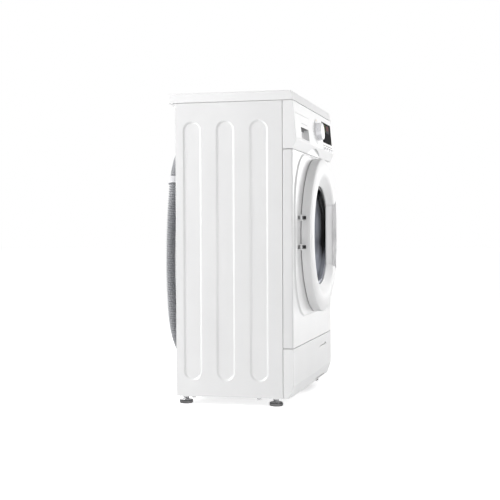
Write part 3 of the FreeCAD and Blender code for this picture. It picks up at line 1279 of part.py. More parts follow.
def tub():
    R = s.tub_radius
    t = s.tub_wall
    rim = s.tub_rim
    front = [
        (tub_front_y, s.tub_mouth), (tub_front_y, R - rim), (tub_front_y + rim, R, -rim), (split_y - t, R),
        (split_y - t, R + rim), (split_y, R + rim), (split_y, R - t), (tub_front_y + t, R - t),
        (tub_front_y + t, s.tub_mouth),
    ]
    piece("tub_front", turned("tub_front_turned", "y", front, z=axis_z))
    rear = [
        (split_y, R - t), (split_y, R + rim), (split_y + t, R + rim), (split_y + t, R), (tub_outer_y, R),
        (tub_outer_y, s.hub_radius), (hub_end_y, s.hub_radius), (hub_end_y, s.bearing_radius),
        (tub_back_y, s.bearing_radius),
        (tub_back_y, R - t),
    ]
    barrel = turned("tub_barrel", "y", rear, z=axis_z)
    lugs = []
    for name, side in (("left", -1), ("right", 1)):
        x = side * s.spring_x
        z = axis_z + root(R * R - s.spring_x * s.spring_x)
        lug_half = s.hanger_half
        lugs.append(block(f"{name}_spring_lug", x - lug_half, x + lug_half, s.spring_y - lug_half,
                          s.spring_y + lug_half,
                          z - lug_half, z + s.spring_lug))
        x = side * s.damper_x
        low = axis_z - root(R * R - s.damper_x * s.damper_x) - s.damper_lug
        lugs.append(block(f"{name}_damper_lug", x - s.damper_half, x + s.damper_half,
                          s.damper_y - s.damper_half,
                          s.damper_y + s.damper_half, low, low + 2 * s.damper_lug))
    sump_z = axis_z - root(R * R - s.pump_x * s.pump_x)
    lugs.append(rod("sump_spout", "z", s.pump_x, s.sump_y, s.sump_radius, sump_z - s.sump_long,
                    sump_z + s.sump_long))
    drop_z = axis_z + root(R * R - s.drop_x * s.drop_x)
    lugs.append(rod("drop_spout", "z", s.drop_x, s.drop_y, s.drop_radius, drop_z - s.drop_long,
                    drop_z + s.drop_long))
    inside = rod("tub_inside", "y", 0, axis_z, R - t, split_y - OVERCUT, tub_back_y)
    heater_r = (s.drum_radius + R - t) / 2
    slot_x = s.heater_half + s.heater_plug
    slot_z = axis_z - heater_r
    plug = block("heater_slot", -slot_x, slot_x, tub_back_y - OVERCUT, tub_outer_y + OVERCUT,
                 slot_z - s.heater_plug, slot_z + s.heater_plug)
    ways = [
        rod("sump_way", "z", s.pump_x, s.sump_y, s.sump_radius - s.bellows_wall,
            sump_z - s.sump_long - OVERCUT, axis_z),
        rod("drop_way", "z", s.drop_x, s.drop_y, s.drop_radius - s.bellows_wall, axis_z,
            drop_z + s.drop_long + OVERCUT),
    ]
    piece("tub_rear", cut("tub_rear_cut", fuse("tub_rear_solid", barrel, *lugs), inside, plug, *ways))


def counterweights():
    y0 = tub_front_y - s.seat_gap - s.weight_thick
    y1 = tub_front_y - s.seat_gap
    profile = [(y0, s.weight_inner), (y0, s.weight_outer), (y1, s.weight_outer), (y1, s.weight_inner)]
    piece("upper_counterweight", turned("upper_weight", "y", profile, z=axis_z, sector=s.weight_angle))
    piece("lower_counterweight", turned("lower_weight", "y", profile, z=axis_z, sector=s.weight_angle,
                                        turn=180))


def heater():
    ring_r = (s.drum_radius + s.tub_radius - s.tub_wall) / 2
    z = axis_z - root(ring_r * ring_r - s.heater_half * s.heater_half)
    y0 = tub_back_y - s.heater_long
    legs = [rod(f"heater_leg_{number}", "y", x, z, s.heater_tube, y0, tub_back_y + s.seat_gap)
            for number, x in enumerate((-s.heater_half, s.heater_half))]
    bridge = rod("heater_bridge", "x", y0, z, s.heater_tube, -s.heater_half, s.heater_half)
    clear = s.seat_gap
    plug = s.heater_plug
    seal = block("heater_seal", clear - s.heater_half - plug, s.heater_half + plug - clear,
                 tub_back_y + clear, tub_outer_y + plug,
                 axis_z - ring_r - plug + clear, axis_z - ring_r + plug - clear)
    lift = [block(f"heater_stem_{number}", x - s.heater_tube, x + s.heater_tube, tub_back_y,
                  tub_back_y + plug, axis_z - ring_r, z)
            for number, x in enumerate((-s.heater_half, s.heater_half))]
    piece("heater", fuse("heater_body", *legs, bridge, seal, *lift))


def bearings_and_stator():
    rings = []
    for number in range(2):
        y0 = tub_back_y + number * (s.bearing_wide + s.bearing_space)
        y1 = y0 + s.bearing_wide
        inner = s.shaft_radius + s.run_clear
        outer = s.bearing_radius - s.run_clear
        profile = [(y0, inner), (y0, outer), (y1, outer), (y1, inner)]
        rings.append(turned(f"bearing_{number}", "y", profile, z=axis_z))
    piece("bearings", group("bearing_pair", *rings))
    y0 = tub_outer_y
    y1 = tub_outer_y + s.stator_thick
    yoke = [(y0, s.hub_radius + s.seat_gap), (y0, s.stator_yoke), (y1, s.stator_yoke),
            (y1, s.hub_radius + s.seat_gap)]
    body = turned("stator_core", "y", yoke, z=axis_z)
    doc.recompute()
    tooth = new_sketch(body, "XZ", -y1)
    half_tooth = s.tooth_width / 2
    inner = s.stator_yoke - 2 * s.tub_wall
    draw(tooth, [(-half_tooth, inner), (half_tooth, inner), (half_tooth, s.stator_radius),
                 (-half_tooth, s.stator_radius)])
    pad = body.newObject("PartDesign::Pad", "stator_tooth")
    pad.Profile = tooth
    bind(pad, "Length", s.stator_thick)
    doc.recompute()
    pattern = body.newObject("PartDesign::PolarPattern", "stator_teeth")
    pattern.Originals = [pad]
    pattern.Axis = (tooth, ["N_Axis"])
    pattern.Angle = 360
    pattern.Occurrences = TOOTH_COUNT
    body.Tip = pattern
    piece("stator", body)


def drum():
    R = s.drum_radius
    t = s.drum_sheet
    y0 = drum_front_y
    y1 = drum_back_y
    sh = s.drum_shoulder
    roll = s.drum_roll
    bore = s.spider_hub / 2
    profile = [
        (y0 + roll, s.drum_mouth), (y0, s.drum_mouth + roll, -roll), (y0, R - sh), (y0 + sh, R, -sh),
        (y1 - sh, R),
        (y1, R - sh, -sh), (y1, bore), (y1 - t, bore), (y1 - t, R - sh), (y1 - sh, R - t, sh - t),
        (y0 + sh, R - t),
        (y0 + t, R - sh, sh - t), (y0 + t, s.drum_mouth + roll), (y0 + roll, s.drum_mouth + t, roll - t),
    ]
    piece("drum_shell", turned("drum_turned", "y", profile, z=axis_z))

    seat_r = R - t - s.seat_gap
    fit = rod("lifter_fit", "y", 0, axis_z, seat_r, y0, y1)
    lifters = []
    for number, angle in enumerate(SPOKE_ANGLES):
        low = seat_r - s.lifter_high
        outline = [(-s.lifter_root / 2, R), (-s.lifter_top / 2, low + s.lifter_top / 2),
                   (s.lifter_top / 2, low + s.lifter_top / 2, s.lifter_crown), (s.lifter_root / 2, R)]
        paddle = prism(f"paddle_{number}", "XZ", [outline], y0 + s.lifter_inset, y1 - s.lifter_inset)
        paddle.Placement = FreeCAD.Placement(Vector(), Rotation(Vector(0, 1, 0), angle))
        put(paddle, z=axis_z)
        lifters.append(common(f"lifter_{number}", paddle, fit))
    piece("drum_lifters", group("lifters", *lifters))

    hub = rod("spider_hub", "y", 0, axis_z, s.spider_hub, spider_y, spider_back_y)
    arms = []
    for number, angle in enumerate(SPOKE_ANGLES):
        w = s.spider_arm
        outline = [(-w, 0), (-w / 2, s.spider_reach), (w / 2, s.spider_reach), (w, 0)]
        arm = prism(f"spider_arm_{number}", "XZ", [outline], spider_y, spider_back_y)
        arm.Placement = FreeCAD.Placement(Vector(), Rotation(Vector(0, 1, 0), angle))
        put(arm, z=axis_z)
        arms.append(arm)
    shaft = rod("drum_shaft", "y", 0, axis_z, s.shaft_radius, spider_y, rotor_end_y)
    piece("drum_spider", fuse("spider", hub, *arms, shaft))


def rotor():
    r0 = s.stator_radius + s.rotor_gap
    r1 = r0 + s.rotor_rim
    bore = s.shaft_radius + s.run_clear
    profile = [
        (rotor_y, bore), (rotor_y, r0), (tub_outer_y + s.rotor_gap, r0), (tub_outer_y + s.rotor_gap, r1),
        (rotor_back_y, r1),
        (rotor_back_y, s.rotor_hub), (rotor_end_y, s.rotor_hub), (rotor_end_y, bore),
    ]
    piece("rotor", turned("rotor_turned", "y", profile, z=axis_z))


# Suspension and inner hoses

def suspension():
    lug_top = axis_z + root(s.tub_radius * s.tub_radius - s.spring_x * s.spring_x) + s.spring_lug
    hanger_z = top_z - s.hanger_drop
    wire = s.spring_wire.value
    low = lug_top.value + wire + s.seat_gap.value
    high = hanger_z.value - wire - s.seat_gap.value
    springs = []
    for number, side in enumerate((-1, 1)):
        rise = (high - low) / s.spring_turns.value
        helix = Part.makeHelix(rise, high - low, s.spring_radius.value)
        start = helix.Vertexes[0].Point
        section = Part.Wire(Part.makeCircle(wire, start, Vector(0, 1, 0)))
        spring = doc.addObject("Part::Feature", f"spring_{number}")
        spring.Shape = Part.Wire(helix.Edges).makePipeShell([section], True, True)
        spring.Placement = FreeCAD.Placement(Vector(side * s.spring_x.value, s.spring_y.value, low),
                                             Rotation())
        springs.append(spring)
    piece("suspension_springs", group("springs", *springs))

    cylinders = []
    rods = []
    tub_low = axis_z - root(s.tub_radius * s.tub_radius - s.damper_x * s.damper_x) - s.damper_lug
    rod_low = tub_low - (tub_low - floor_z) * s.rod_share
    top = tub_low - s.damper_gap
    for number, x in enumerate((-s.damper_x, s.damper_x)):
        tube = rod(f"damper_tube_{number}", "z", x, s.damper_y, s.damper_radius, floor_z, top)
        bore = rod(f"damper_bore_{number}", "z", x, s.damper_y, s.rod_radius + s.rod_clear,
                   rod_low - s.rod_stop, top + OVERCUT)
        cylinders.append(cut(f"damper_{number}", tube, bore))
        stem = rod(f"damper_stem_{number}", "z", x, s.damper_y, s.rod_radius, rod_low, tub_low)
        bush = rod(f"damper_bush_{number}", "z", x, s.damper_y, s.rod_bush, tub_low - s.bush_high, tub_low)
        rods.append(fuse(f"damper_rod_{number}", stem, bush))
    piece("damper_cylinders", group("damper_pair", *cylinders))
    piece("damper_rods", group("rod_pair", *rods))


def bellows(name, x, y, radius, low, high):
    """Upright rubber bellows with folds between two spouts."""
    t = s.bellows_wall
    out = s.bellows_out
    steps = 2 * FOLD_COUNT + 1
    span = (high - low) / steps
    outer = [(radius, low)]
    inner = [(radius - t, low)]
    for number in range(1, steps):
        swell = out if number % 2 else as_size(0)
        outer.append((radius + swell, low + number * span))
        inner.append((radius + swell - t, low + number * span))
    outer.append((radius, high))
    inner.append((radius - t, high))
    return turned(name, "z", outer + inner[::-1], x=x, y=y)


def inner_bellows():
    sump_low = pump_z + s.pump_radius + s.inlet_spout
    sump_high = axis_z - root(s.tub_radius * s.tub_radius - s.pump_x * s.pump_x) - s.sump_long
    gap = s.seat_gap
    piece("sump_hose", bellows("sump", s.pump_x, s.sump_y, s.sump_radius, sump_low + gap, sump_high - gap))
    drop_low = axis_z + root(s.tub_radius * s.tub_radius - s.drop_x * s.drop_x) + s.drop_long
    piece("dispenser_hose", bellows("drop", s.drop_x, s.drop_y, s.drop_radius, drop_low + gap,
                                    housing_z - gap))


def door_gasket():
    """Rubber bellows from the pressed door lip to the tub mouth; its lip seals on the glass bowl."""
    t = s.gasket_wall
    y0 = dish_y + s.sheet + s.seat_gap
    y1 = tub_front_y - s.seat_gap
    clamp = s.dish_mouth - s.seat_gap
    bowl_slope = (s.bowl_neck - s.bowl_tip) / (bowl_tip_y - bowl_neck_y)
    lip = s.bowl_neck - (y0 - bowl_neck_y) * bowl_slope + s.lip_clear
    fold = s.gasket_fold
    back = s.gasket_back
    profile = [
        (y0, lip), (y0, clamp), (y0 + t, clamp), (y0 + t, fold), (y1 - 2 * t, fold), (y1 - 2 * t, back),
        (y1, back), (y1, s.tub_mouth), (y1 - t, s.tub_mouth), (y1 - t, fold - t), (y0 + 2 * t, fold - t),
        (y0 + t, lip + t),
    ]
    piece("door_gasket", turned("gasket", "y", profile, z=axis_z))


side_panels()
back_panel()
top_lid()
base_frame()
feet()
front_panel()
kick_panel()
filter_flap()
drain_pump()
pump_filter()
console()
console_fittings()
program_knob()
keys()
detergent_drawer()
dispenser_housing()
rear_fittings()
inner_drain_hose()
drain_hose()
hose_clips()
door()
door_hinge()
door_latch()
tub()
counterweights()
heater()
bearings_and_stator()
drum()
rotor()
suspension()
inner_bellows()
door_gasket()
doc.recompute()

# Every object and every sub-part has to be sound before anything is written
faulty = [item.Name for item in doc.Objects if "Invalid" in item.State or "Error" in item.State]
if faulty:
    raise RuntimeError(f"did not compute: {faulty}")
for sub_part in pieces:
    if sub_part.Shape.isNull() or not sub_part.Shape.isValid() or not sub_part.Shape.Solids:
        raise RuntimeError(f"{sub_part.Label} has no sound solid")

os.makedirs("parts", exist_ok=True)
for sub_part in pieces:
    sub_part.Shape.exportStep(f"parts/{sub_part.Label}.step")
    print(sub_part.Label, len(sub_part.Shape.Solids), round(sub_part.Shape.Volume))
print("sub-parts", len(pieces))
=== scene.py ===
import json
import math

import bmesh
import bpy
from mathutils import Matrix, Vector


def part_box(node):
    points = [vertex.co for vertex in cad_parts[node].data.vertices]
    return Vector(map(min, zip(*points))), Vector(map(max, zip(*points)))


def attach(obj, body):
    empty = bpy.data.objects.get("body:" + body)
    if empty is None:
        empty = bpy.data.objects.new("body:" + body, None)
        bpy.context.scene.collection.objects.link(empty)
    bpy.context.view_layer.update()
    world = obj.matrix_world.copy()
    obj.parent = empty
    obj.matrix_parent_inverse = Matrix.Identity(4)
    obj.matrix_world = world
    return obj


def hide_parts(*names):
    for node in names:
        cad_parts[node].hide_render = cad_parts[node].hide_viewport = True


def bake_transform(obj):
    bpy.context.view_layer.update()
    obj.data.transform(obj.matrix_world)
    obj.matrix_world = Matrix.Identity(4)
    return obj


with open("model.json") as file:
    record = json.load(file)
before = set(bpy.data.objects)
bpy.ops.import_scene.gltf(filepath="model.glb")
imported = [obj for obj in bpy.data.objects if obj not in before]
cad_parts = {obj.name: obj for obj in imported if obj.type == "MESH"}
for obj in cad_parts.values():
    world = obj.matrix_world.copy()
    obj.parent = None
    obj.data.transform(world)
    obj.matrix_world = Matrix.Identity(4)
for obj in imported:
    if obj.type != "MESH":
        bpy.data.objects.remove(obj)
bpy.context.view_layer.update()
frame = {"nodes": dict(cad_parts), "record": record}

scene = bpy.context.scene
cadNodes = frame["nodes"]
slotOf = {row["node"]: row["material_slot"] for row in frame["record"]["subparts"]}


# helpers for objects, and for the nodes of materials and shapes
def linkObject(name, data):
    piece = bpy.data.objects.new(name, data)
    scene.collection.objects.link(piece)
    return piece

def setInputs(tree, node, values):
    for socket, value in values.items():
        if isinstance(value, bpy.types.NodeSocket):
            tree.links.new(value, node.inputs[socket])
        else:
            node.inputs[socket].default_value = value

def addNode(tree, kind, values=None, **settings):
    node = tree.nodes.new(kind)
    for key, value in settings.items():
        setattr(node, key, value)
    setInputs(tree, node, values or {})
    return node

def mathNode(tree, operation, first, second=0.0, third=0.0):
    node = addNode(tree, "ShaderNodeMath", {0: first, 1: second, 2: third}, operation=operation)
    return node.outputs[0]


# camera: the machine seen almost side on, a little above half its height
cameraView = {
    "place": (-3.2066, -0.758645, 0.4668), "yaw": 13.786, "pitch": -0.838, "roll": -0.2328,
    "lens": 80.0, "sensor": 36.0,
}

def setCamera(view):
    yaw, pitch, roll = (math.radians(view[key]) for key in ("yaw", "pitch", "roll"))
    ahead = Vector((math.cos(yaw) * math.cos(pitch), math.sin(yaw) * math.cos(pitch), math.sin(pitch)))
    level = Vector((math.sin(yaw), -math.cos(yaw), 0.0))
    above = level.cross(ahead)
    right = math.cos(roll) * level + math.sin(roll) * above
    up = math.cos(roll) * above - math.sin(roll) * level
    lens = bpy.data.cameras.new("photoCamera")
    lens.lens = view["lens"]
    lens.sensor_width = view["sensor"]
    camera = linkObject("photoCamera", lens)
    turned = Matrix((right, up, -ahead)).transposed().to_4x4()
    camera.matrix_world = Matrix.Translation(view["place"]) @ turned
    scene.camera = camera

setCamera(cameraView)
print("camera set")


# studio: even white surroundings, soft lamps and a pale floor, whose glow fades under the machine
studio = {
    "horizon": 0.45, "ceiling": 0.20, "white": 1.0,
    "floorTone": (0.86, 0.86, 0.86), "floorLift": 0.775, "floorSize": 60.0,
    "shadeCentre": (0.09, 0.0), "shadeHalf": (0.21, 0.165), "shadeFrom": 0.3,
    "lamps": [  # name, place, target, width and watts
        ("frontLamp", (3.4, -2.2, 0.9), (0.0, -0.2, 0.45), 1.6, 54.0),
        ("fillLamp", (-2.3, -2.9, 0.4), (0.0, -0.2, 0.45), 1.8, 37.0),
        ("backLamp", (-1.15, 1.7, 1.4), (-0.3, 0.1, 0.5), 1.1, 43.0),
    ],
}

def seenDirectly(tree):
    path = addNode(tree, "ShaderNodeLightPath").outputs
    seen = mathNode(tree, "MAXIMUM", path["Is Camera Ray"], path["Is Glossy Ray"])
    return mathNode(tree, "MAXIMUM", seen, path["Is Transmission Ray"])

def lightStudio(setup):
    world = bpy.data.worlds.new("whiteSurround")
    scene.world = world
    world.use_nodes = True
    tree = world.node_tree
    tree.nodes.clear()
    where = addNode(tree, "ShaderNodeTexCoord").outputs["Generated"]
    height = addNode(tree, "ShaderNodeSeparateXYZ", {0: where}).outputs["Z"]
    fade = addNode(tree, "ShaderNodeMapRange", {
        "Value": height, "To Min": setup["horizon"], "To Max": setup["ceiling"]})
    lit = addNode(tree, "ShaderNodeBackground", {"Color": (1, 1, 1, 1), "Strength": fade.outputs["Result"]})
    shown = addNode(tree, "ShaderNodeBackground", {"Color": (1, 1, 1, 1), "Strength": setup["white"]})
    both = addNode(tree, "ShaderNodeMixShader", {
        0: seenDirectly(tree), 1: lit.outputs[0], 2: shown.outputs[0]})
    addNode(tree, "ShaderNodeOutputWorld", {"Surface": both.outputs[0]})
    for name, place, target, size, power in setup["lamps"]:
        lamp = bpy.data.lights.new(name, "AREA")
        lamp.shape = "DISK"
        lamp.size = size
        lamp.energy = power
        aim = (Vector(target) - Vector(place)).to_track_quat("-Z", "Y")
        linkObject(name, lamp).matrix_world = Matrix.Translation(place) @ aim.to_matrix().to_4x4()

def layFloor(setup):
    side = setup["floorSize"] / 2
    mesh = bpy.data.meshes.new("floor")
    corners = [(-side, -side, 0), (side, -side, 0), (side, side, 0), (-side, side, 0)]
    mesh.from_pydata(corners, [], [(0, 1, 2, 3)])
    floor = linkObject("floor", mesh)
    paint = bpy.data.materials.new("floorPaper")
    paint.use_nodes = True
    tree = paint.node_tree
    tree.nodes.clear()
    where = addNode(tree, "ShaderNodeTexCoord").outputs["Object"]
    under = addNode(tree, "ShaderNodeMapping", {
        "Vector": where, "Location": (*setup["shadeCentre"], 0), "Scale": (*setup["shadeHalf"], 1)},
        vector_type="TEXTURE")
    away = addNode(tree, "ShaderNodeVectorMath", {0: under.outputs["Vector"]}, operation="LENGTH")
    fade = addNode(tree, "ShaderNodeMapRange", {
        "Value": away.outputs["Value"], "From Min": setup["shadeFrom"], "To Max": setup["floorLift"]})
    lift = mathNode(tree, "MULTIPLY", seenDirectly(tree), fade.outputs["Result"])
    matt = addNode(tree, "ShaderNodeBsdfDiffuse", {"Color": (*setup["floorTone"], 1)})
    glow = addNode(tree, "ShaderNodeEmission", {"Strength": lift})
    total = addNode(tree, "ShaderNodeAddShader", {0: matt.outputs[0], 1: glow.outputs[0]})
    addNode(tree, "ShaderNodeOutputMaterial", {"Surface": total.outputs[0]})
    mesh.materials.append(paint)

lightStudio(studio)
layFloor(studio)
scene.view_settings.view_transform = "Standard"
print("studio lit")


# finishes: every one has its own tone drift, gloss drift and surface texture on Object coordinates
noiseSpan = (0.3, 0.7)  # a noise seldom leaves this range
fineDetail = 3.0

def newFinish(name):
    paint = bpy.data.materials.new(name)
    paint.use_nodes = True
    tree = paint.node_tree
    coords = addNode(tree, "ShaderNodeTexCoord").outputs["Object"]
    return paint, tree, tree.nodes["Principled BSDF"], coords

def axesOf(tree, coords):
    return addNode(tree, "ShaderNodeSeparateXYZ", {0: coords}).outputs

def noiseAt(tree, coords, scale, detail=2.0, stretch=None):
    if stretch:
        coords = addNode(tree, "ShaderNodeMapping", {"Vector": coords, "Scale": stretch}).outputs["Vector"]
    noise = addNode(tree, "ShaderNodeTexNoise", {"Vector": coords, "Scale": scale, "Detail": detail})
    return noise.outputs["Fac"]

def toneBetween(tree, factor, dark, light, low=0.35, high=0.65):
    ramp = addNode(tree, "ShaderNodeValToRGB", {"Fac": factor})
    ends = ramp.color_ramp.elements
    ends[0].position = low
    ends[0].color = (*dark, 1)
    ends[1].position = high
    ends[1].color = (*light, 1)
    return ramp.outputs["Color"]

def mapBetween(tree, value, start, end, low=0.0, high=1.0):
    span = addNode(tree, "ShaderNodeMapRange", {
        "Value": value, "From Min": start, "From Max": end, "To Min": low, "To Max": high})
    return span.outputs["Result"]

def bumpFrom(tree, height, strength, distance, under=None):
    values = {"Height": height, "Strength": strength, "Distance": distance}
    if under is not None:
        values["Normal"] = under
    return addNode(tree, "ShaderNodeBump", values).outputs["Normal"]

def surfaceFinish(name, dark, light, rough, grain, depth, drift=5.0, metal=0.0, coat=0.0, coatRough=0.1,
                  stretch=None, ior=1.5, bump=0.35):
    paint, tree, shader, coords = newFinish(name)
    slow = noiseAt(tree, coords, drift)
    fine = noiseAt(tree, coords, grain, fineDetail, stretch)
    setInputs(tree, shader, {
        "Base Color": toneBetween(tree, slow, dark, light),
        "Roughness": mapBetween(tree, fine, *noiseSpan, *rough),
        "Normal": bumpFrom(tree, fine, bump, depth),
        "Metallic": metal, "Coat Weight": coat, "Coat Roughness": coatRough, "IOR": ior})
    return paint

# two tones that meet at a plane across one axis, with a thread above it where a pitch is given
def twoToneFinish(name, axis, limit, below, above, rough, metal=0.0, threadPitch=None, ior=1.5,
                  drift=12.0, grain=900.0, depth=0.00008, bump=0.3, threadBump=0.8):
    paint, tree, shader, coords = newFinish(name)
    place = axesOf(tree, coords)[axis]
    past = mathNode(tree, "GREATER_THAN", place, limit)
    slow = noiseAt(tree, coords, drift)
    fine = noiseAt(tree, coords, grain, fineDetail)
    tone = addNode(tree, "ShaderNodeMix", {
        "Factor": past, 6: toneBetween(tree, slow, *below), 7: toneBetween(tree, slow, *above)},
        data_type="RGBA")
    normal = bumpFrom(tree, fine, bump, depth)
    if threadPitch:
        turns = mathNode(tree, "MULTIPLY", mathNode(tree, "PINGPONG", place, threadPitch / 2), past)
        normal = bumpFrom(tree, turns, threadBump, 1.0, normal)
    setInputs(tree, shader, {
        "Base Color": tone.outputs[2], "Roughness": mapBetween(tree, fine, *noiseSpan, *rough),
        "Normal": normal, "Metallic": metal, "IOR": ior})
    return paint

# bowl glass: a dark smoked tone, near black at the rim, with painted light on it: tall blue-grey streaks on
# the wall, paler deeper in the bowl and towards its lower part, and half as much on the flat bottom
glass = {
    "rimPlane": -0.166, "deepPlane": -0.124, "deepPaintedLightShare": 0.6,
    # painted light: the glass is painted paler from the first of these heights down to the second
    "paintedLightFrom": 0.44, "paintedLightFull": 0.36, "paintedLightShare": 0.4,
    "stretch": (6.0, 75.0, 7.0), "paintedStreakShare": 0.7,
    "wallEnd": -0.134, "bottomPlane": -0.120, "bottomShare": 0.5,
    "dark": (0.006, 0.006, 0.007), "pale": (0.80, 0.83, 0.92), "toneSpan": (0.40, 0.80),
    "rough": (0.03, 0.08), "clear": 0.45, "ior": 1.2,
}

def smokedGlassPaintedLight(name, setup):
    paint, tree, shader, coords = newFinish(name)
    axes = axesOf(tree, coords)
    # the pale share is painted light: streaks, depth into the bowl and the lower part each add some, and the
    # flat bottom keeps half
    deep = mapBetween(tree, axes["Y"], setup["rimPlane"], setup["deepPlane"])
    low = mapBetween(tree, axes["Z"], setup["paintedLightFrom"], setup["paintedLightFull"])
    wall = mapBetween(tree, axes["Y"], setup["bottomPlane"], setup["wallEnd"])
    paintedStreaks = noiseAt(tree, coords, 1.0, stretch=setup["stretch"])
    share = mathNode(tree, "MULTIPLY", paintedStreaks, setup["paintedStreakShare"])
    share = mathNode(tree, "MULTIPLY_ADD", deep, setup["deepPaintedLightShare"], share)
    share = mathNode(tree, "MULTIPLY_ADD", low, setup["paintedLightShare"], share)
    kept = mathNode(tree, "MULTIPLY_ADD", wall, 1.0 - setup["bottomShare"], setup["bottomShare"])
    share = mathNode(tree, "MULTIPLY", share, kept)
    setInputs(tree, shader, {
        "Base Color": toneBetween(tree, share, setup["dark"], setup["pale"], *setup["toneSpan"]),
        "Roughness": mapBetween(tree, paintedStreaks, *noiseSpan, *setup["rough"]),
        "Transmission Weight": setup["clear"], "IOR": setup["ior"]})
    return paint

# after the name: dark tone, light tone, roughness from and to, grain scale and grain depth
finishes = {
    "white_enamel": surfaceFinish(
        "whiteEnamel", (0.80, 0.80, 0.803), (0.825, 0.825, 0.827), (0.28, 0.36), 900.0, 0.00006,
        coat=0.25, coatRough=0.12),
    "white_plastic": surfaceFinish(
        "whitePlastic", (0.85, 0.85, 0.852), (0.87, 0.87, 0.872), (0.38, 0.5), 1400.0, 0.00005),
    "door_white": surfaceFinish(
        "doorWhite", (0.90, 0.90, 0.902), (0.92, 0.92, 0.922), (0.44, 0.54), 1200.0, 0.00004, ior=1.42),
    "grey_plastic": surfaceFinish(
        "greyPlastic", (0.40, 0.40, 0.41), (0.46, 0.46, 0.47), (0.45, 0.6), 1100.0, 0.00008),
    "handle_grey": twoToneFinish(
        "handleGrey", "X", 0.1855, ((0.78, 0.78, 0.785), (0.82, 0.82, 0.825)),
        ((0.93, 0.93, 0.932), (0.95, 0.95, 0.952)), (0.6, 0.7), ior=1.25),
    "hose_grey": surfaceFinish(
        "hoseGrey", (0.245, 0.25, 0.265), (0.30, 0.305, 0.32), (0.46, 0.62), 700.0, 0.0001),
    "black_plastic": surfaceFinish(
        "blackPlastic", (0.016, 0.016, 0.017), (0.03, 0.03, 0.032), (0.35, 0.5), 1200.0, 0.00006),
    "black_steel": twoToneFinish(
        "hingeSteel", "Y", -0.1780, ((0.012, 0.012, 0.013), (0.022, 0.022, 0.023)),
        ((0.74, 0.74, 0.743), (0.78, 0.78, 0.782)), (0.4, 0.55)),
    "display_black": surfaceFinish(
        "displayBlack", (0.006, 0.006, 0.007), (0.011, 0.011, 0.012), (0.30, 0.40), 300.0, 0.00001, ior=1.02),
    "bowl_glass": smokedGlassPaintedLight("bowlGlass", glass),
    "silver": surfaceFinish(
        "silverPaint", (0.88, 0.88, 0.90), (0.92, 0.92, 0.94), (0.24, 0.32), 1600.0, 0.00004,
        metal=0.4, coat=0.3),
    "stainless": surfaceFinish(
        "stainless", (0.55, 0.56, 0.58), (0.64, 0.65, 0.67), (0.2, 0.34), 220.0, 0.00004,
        metal=1.0, stretch=(1.0, 18.0, 1.0)),
    "zinc_steel": surfaceFinish(
        "zincSteel", (0.43, 0.43, 0.435), (0.50, 0.50, 0.505), (0.40, 0.55), 260.0, 0.00006,
        drift=40.0, metal=1.0),
    "foot_black": twoToneFinish(
        "levellingFoot", "Z", 0.0102, ((0.10, 0.10, 0.102), (0.15, 0.15, 0.152)),
        ((0.66, 0.66, 0.67), (0.76, 0.76, 0.77)), (0.18, 0.30), metal=1.0, threadPitch=0.00125),
    "grey_rubber": surfaceFinish(
        "greyRubber", (0.19, 0.195, 0.20), (0.25, 0.255, 0.26), (0.5, 0.66), 800.0, 0.0001),
    "tub_plastic": surfaceFinish(
        "tubPlastic", (0.50, 0.50, 0.49), (0.57, 0.57, 0.56), (0.45, 0.6), 500.0, 0.0001),
    "iron": surfaceFinish(
        "castIron", (0.12, 0.12, 0.12), (0.18, 0.18, 0.18), (0.6, 0.8), 260.0, 0.0006, drift=30.0),
    "alloy": surfaceFinish(
        "castAlloy", (0.48, 0.48, 0.49), (0.58, 0.58, 0.59), (0.4, 0.55), 320.0, 0.0003, metal=1.0),
}
prints = {
    "paleGrey": surfaceFinish(
        "paleGreyInk", (0.36, 0.36, 0.37), (0.44, 0.44, 0.45), (0.5, 0.6), 1500.0, 0.00001),
    "darkGrey": surfaceFinish(
        "darkGreyInk", (0.10, 0.10, 0.105), (0.15, 0.15, 0.155), (0.5, 0.6), 1500.0, 0.00001, ior=1.1),
    "yellow": surfaceFinish(
        "paleYellowInk", (0.74, 0.56, 0.18), (0.80, 0.62, 0.24), (0.45, 0.55), 1500.0, 0.00001),
    "red": surfaceFinish(
        "dimRedSegment", (0.30, 0.06, 0.05), (0.38, 0.085, 0.065), (0.4, 0.5), 1500.0, 0.00001, ior=1.05),
    "lime": surfaceFinish(
        "limeSegment", (0.24, 0.27, 0.02), (0.32, 0.35, 0.04), (0.4, 0.5), 1500.0, 0.00001, ior=1.05),
    "slate": surfaceFinish(
        "displaySlate", (0.030, 0.030, 0.032), (0.040, 0.040, 0.042), (0.4, 0.5), 900.0, 0.00001, ior=1.05),
    # near black painted shade, for the dimples that stand for the drum's holes
    "hole": surfaceFinish(
        "pierceShadow", (0.010, 0.010, 0.011), (0.018, 0.018, 0.019), (0.6, 0.7), 900.0, 0.00002, ior=1.1),
    # dark grey painted shade for the drawer's finger pull
    "pullPaintedShade": surfaceFinish(
        "pullShadeGrey", (0.16, 0.16, 0.16), (0.21, 0.21, 0.21), (0.5, 0.6), 1100.0, 0.00008),
}
# solids that share a record slot but are a shade greyer than the rest of it
ownFinishes = {
    "dial_bezel": surfaceFinish(
        "bezelGrey", (0.78, 0.78, 0.783), (0.82, 0.82, 0.823), (0.4, 0.5), 1400.0, 0.00005),
    "hose_clips": surfaceFinish(
        "clipGrey", (0.66, 0.66, 0.68), (0.70, 0.70, 0.72), (0.55, 0.65), 1400.0, 0.00005, ior=1.2),
}

def dressNodes():
    for name, node in cadNodes.items():
        node.data.materials.clear()
        node.data.materials.append(ownFinishes.get(name) or finishes[slotOf[name]])

dressNodes()
print("finishes on", len(cadNodes), "solids")


# mesh helpers
def finishPiece(piece, body, finish=None):
    if finish is not None:
        piece.data.materials.clear()
        piece.data.materials.append(finish)
    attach(piece, body)
    return piece

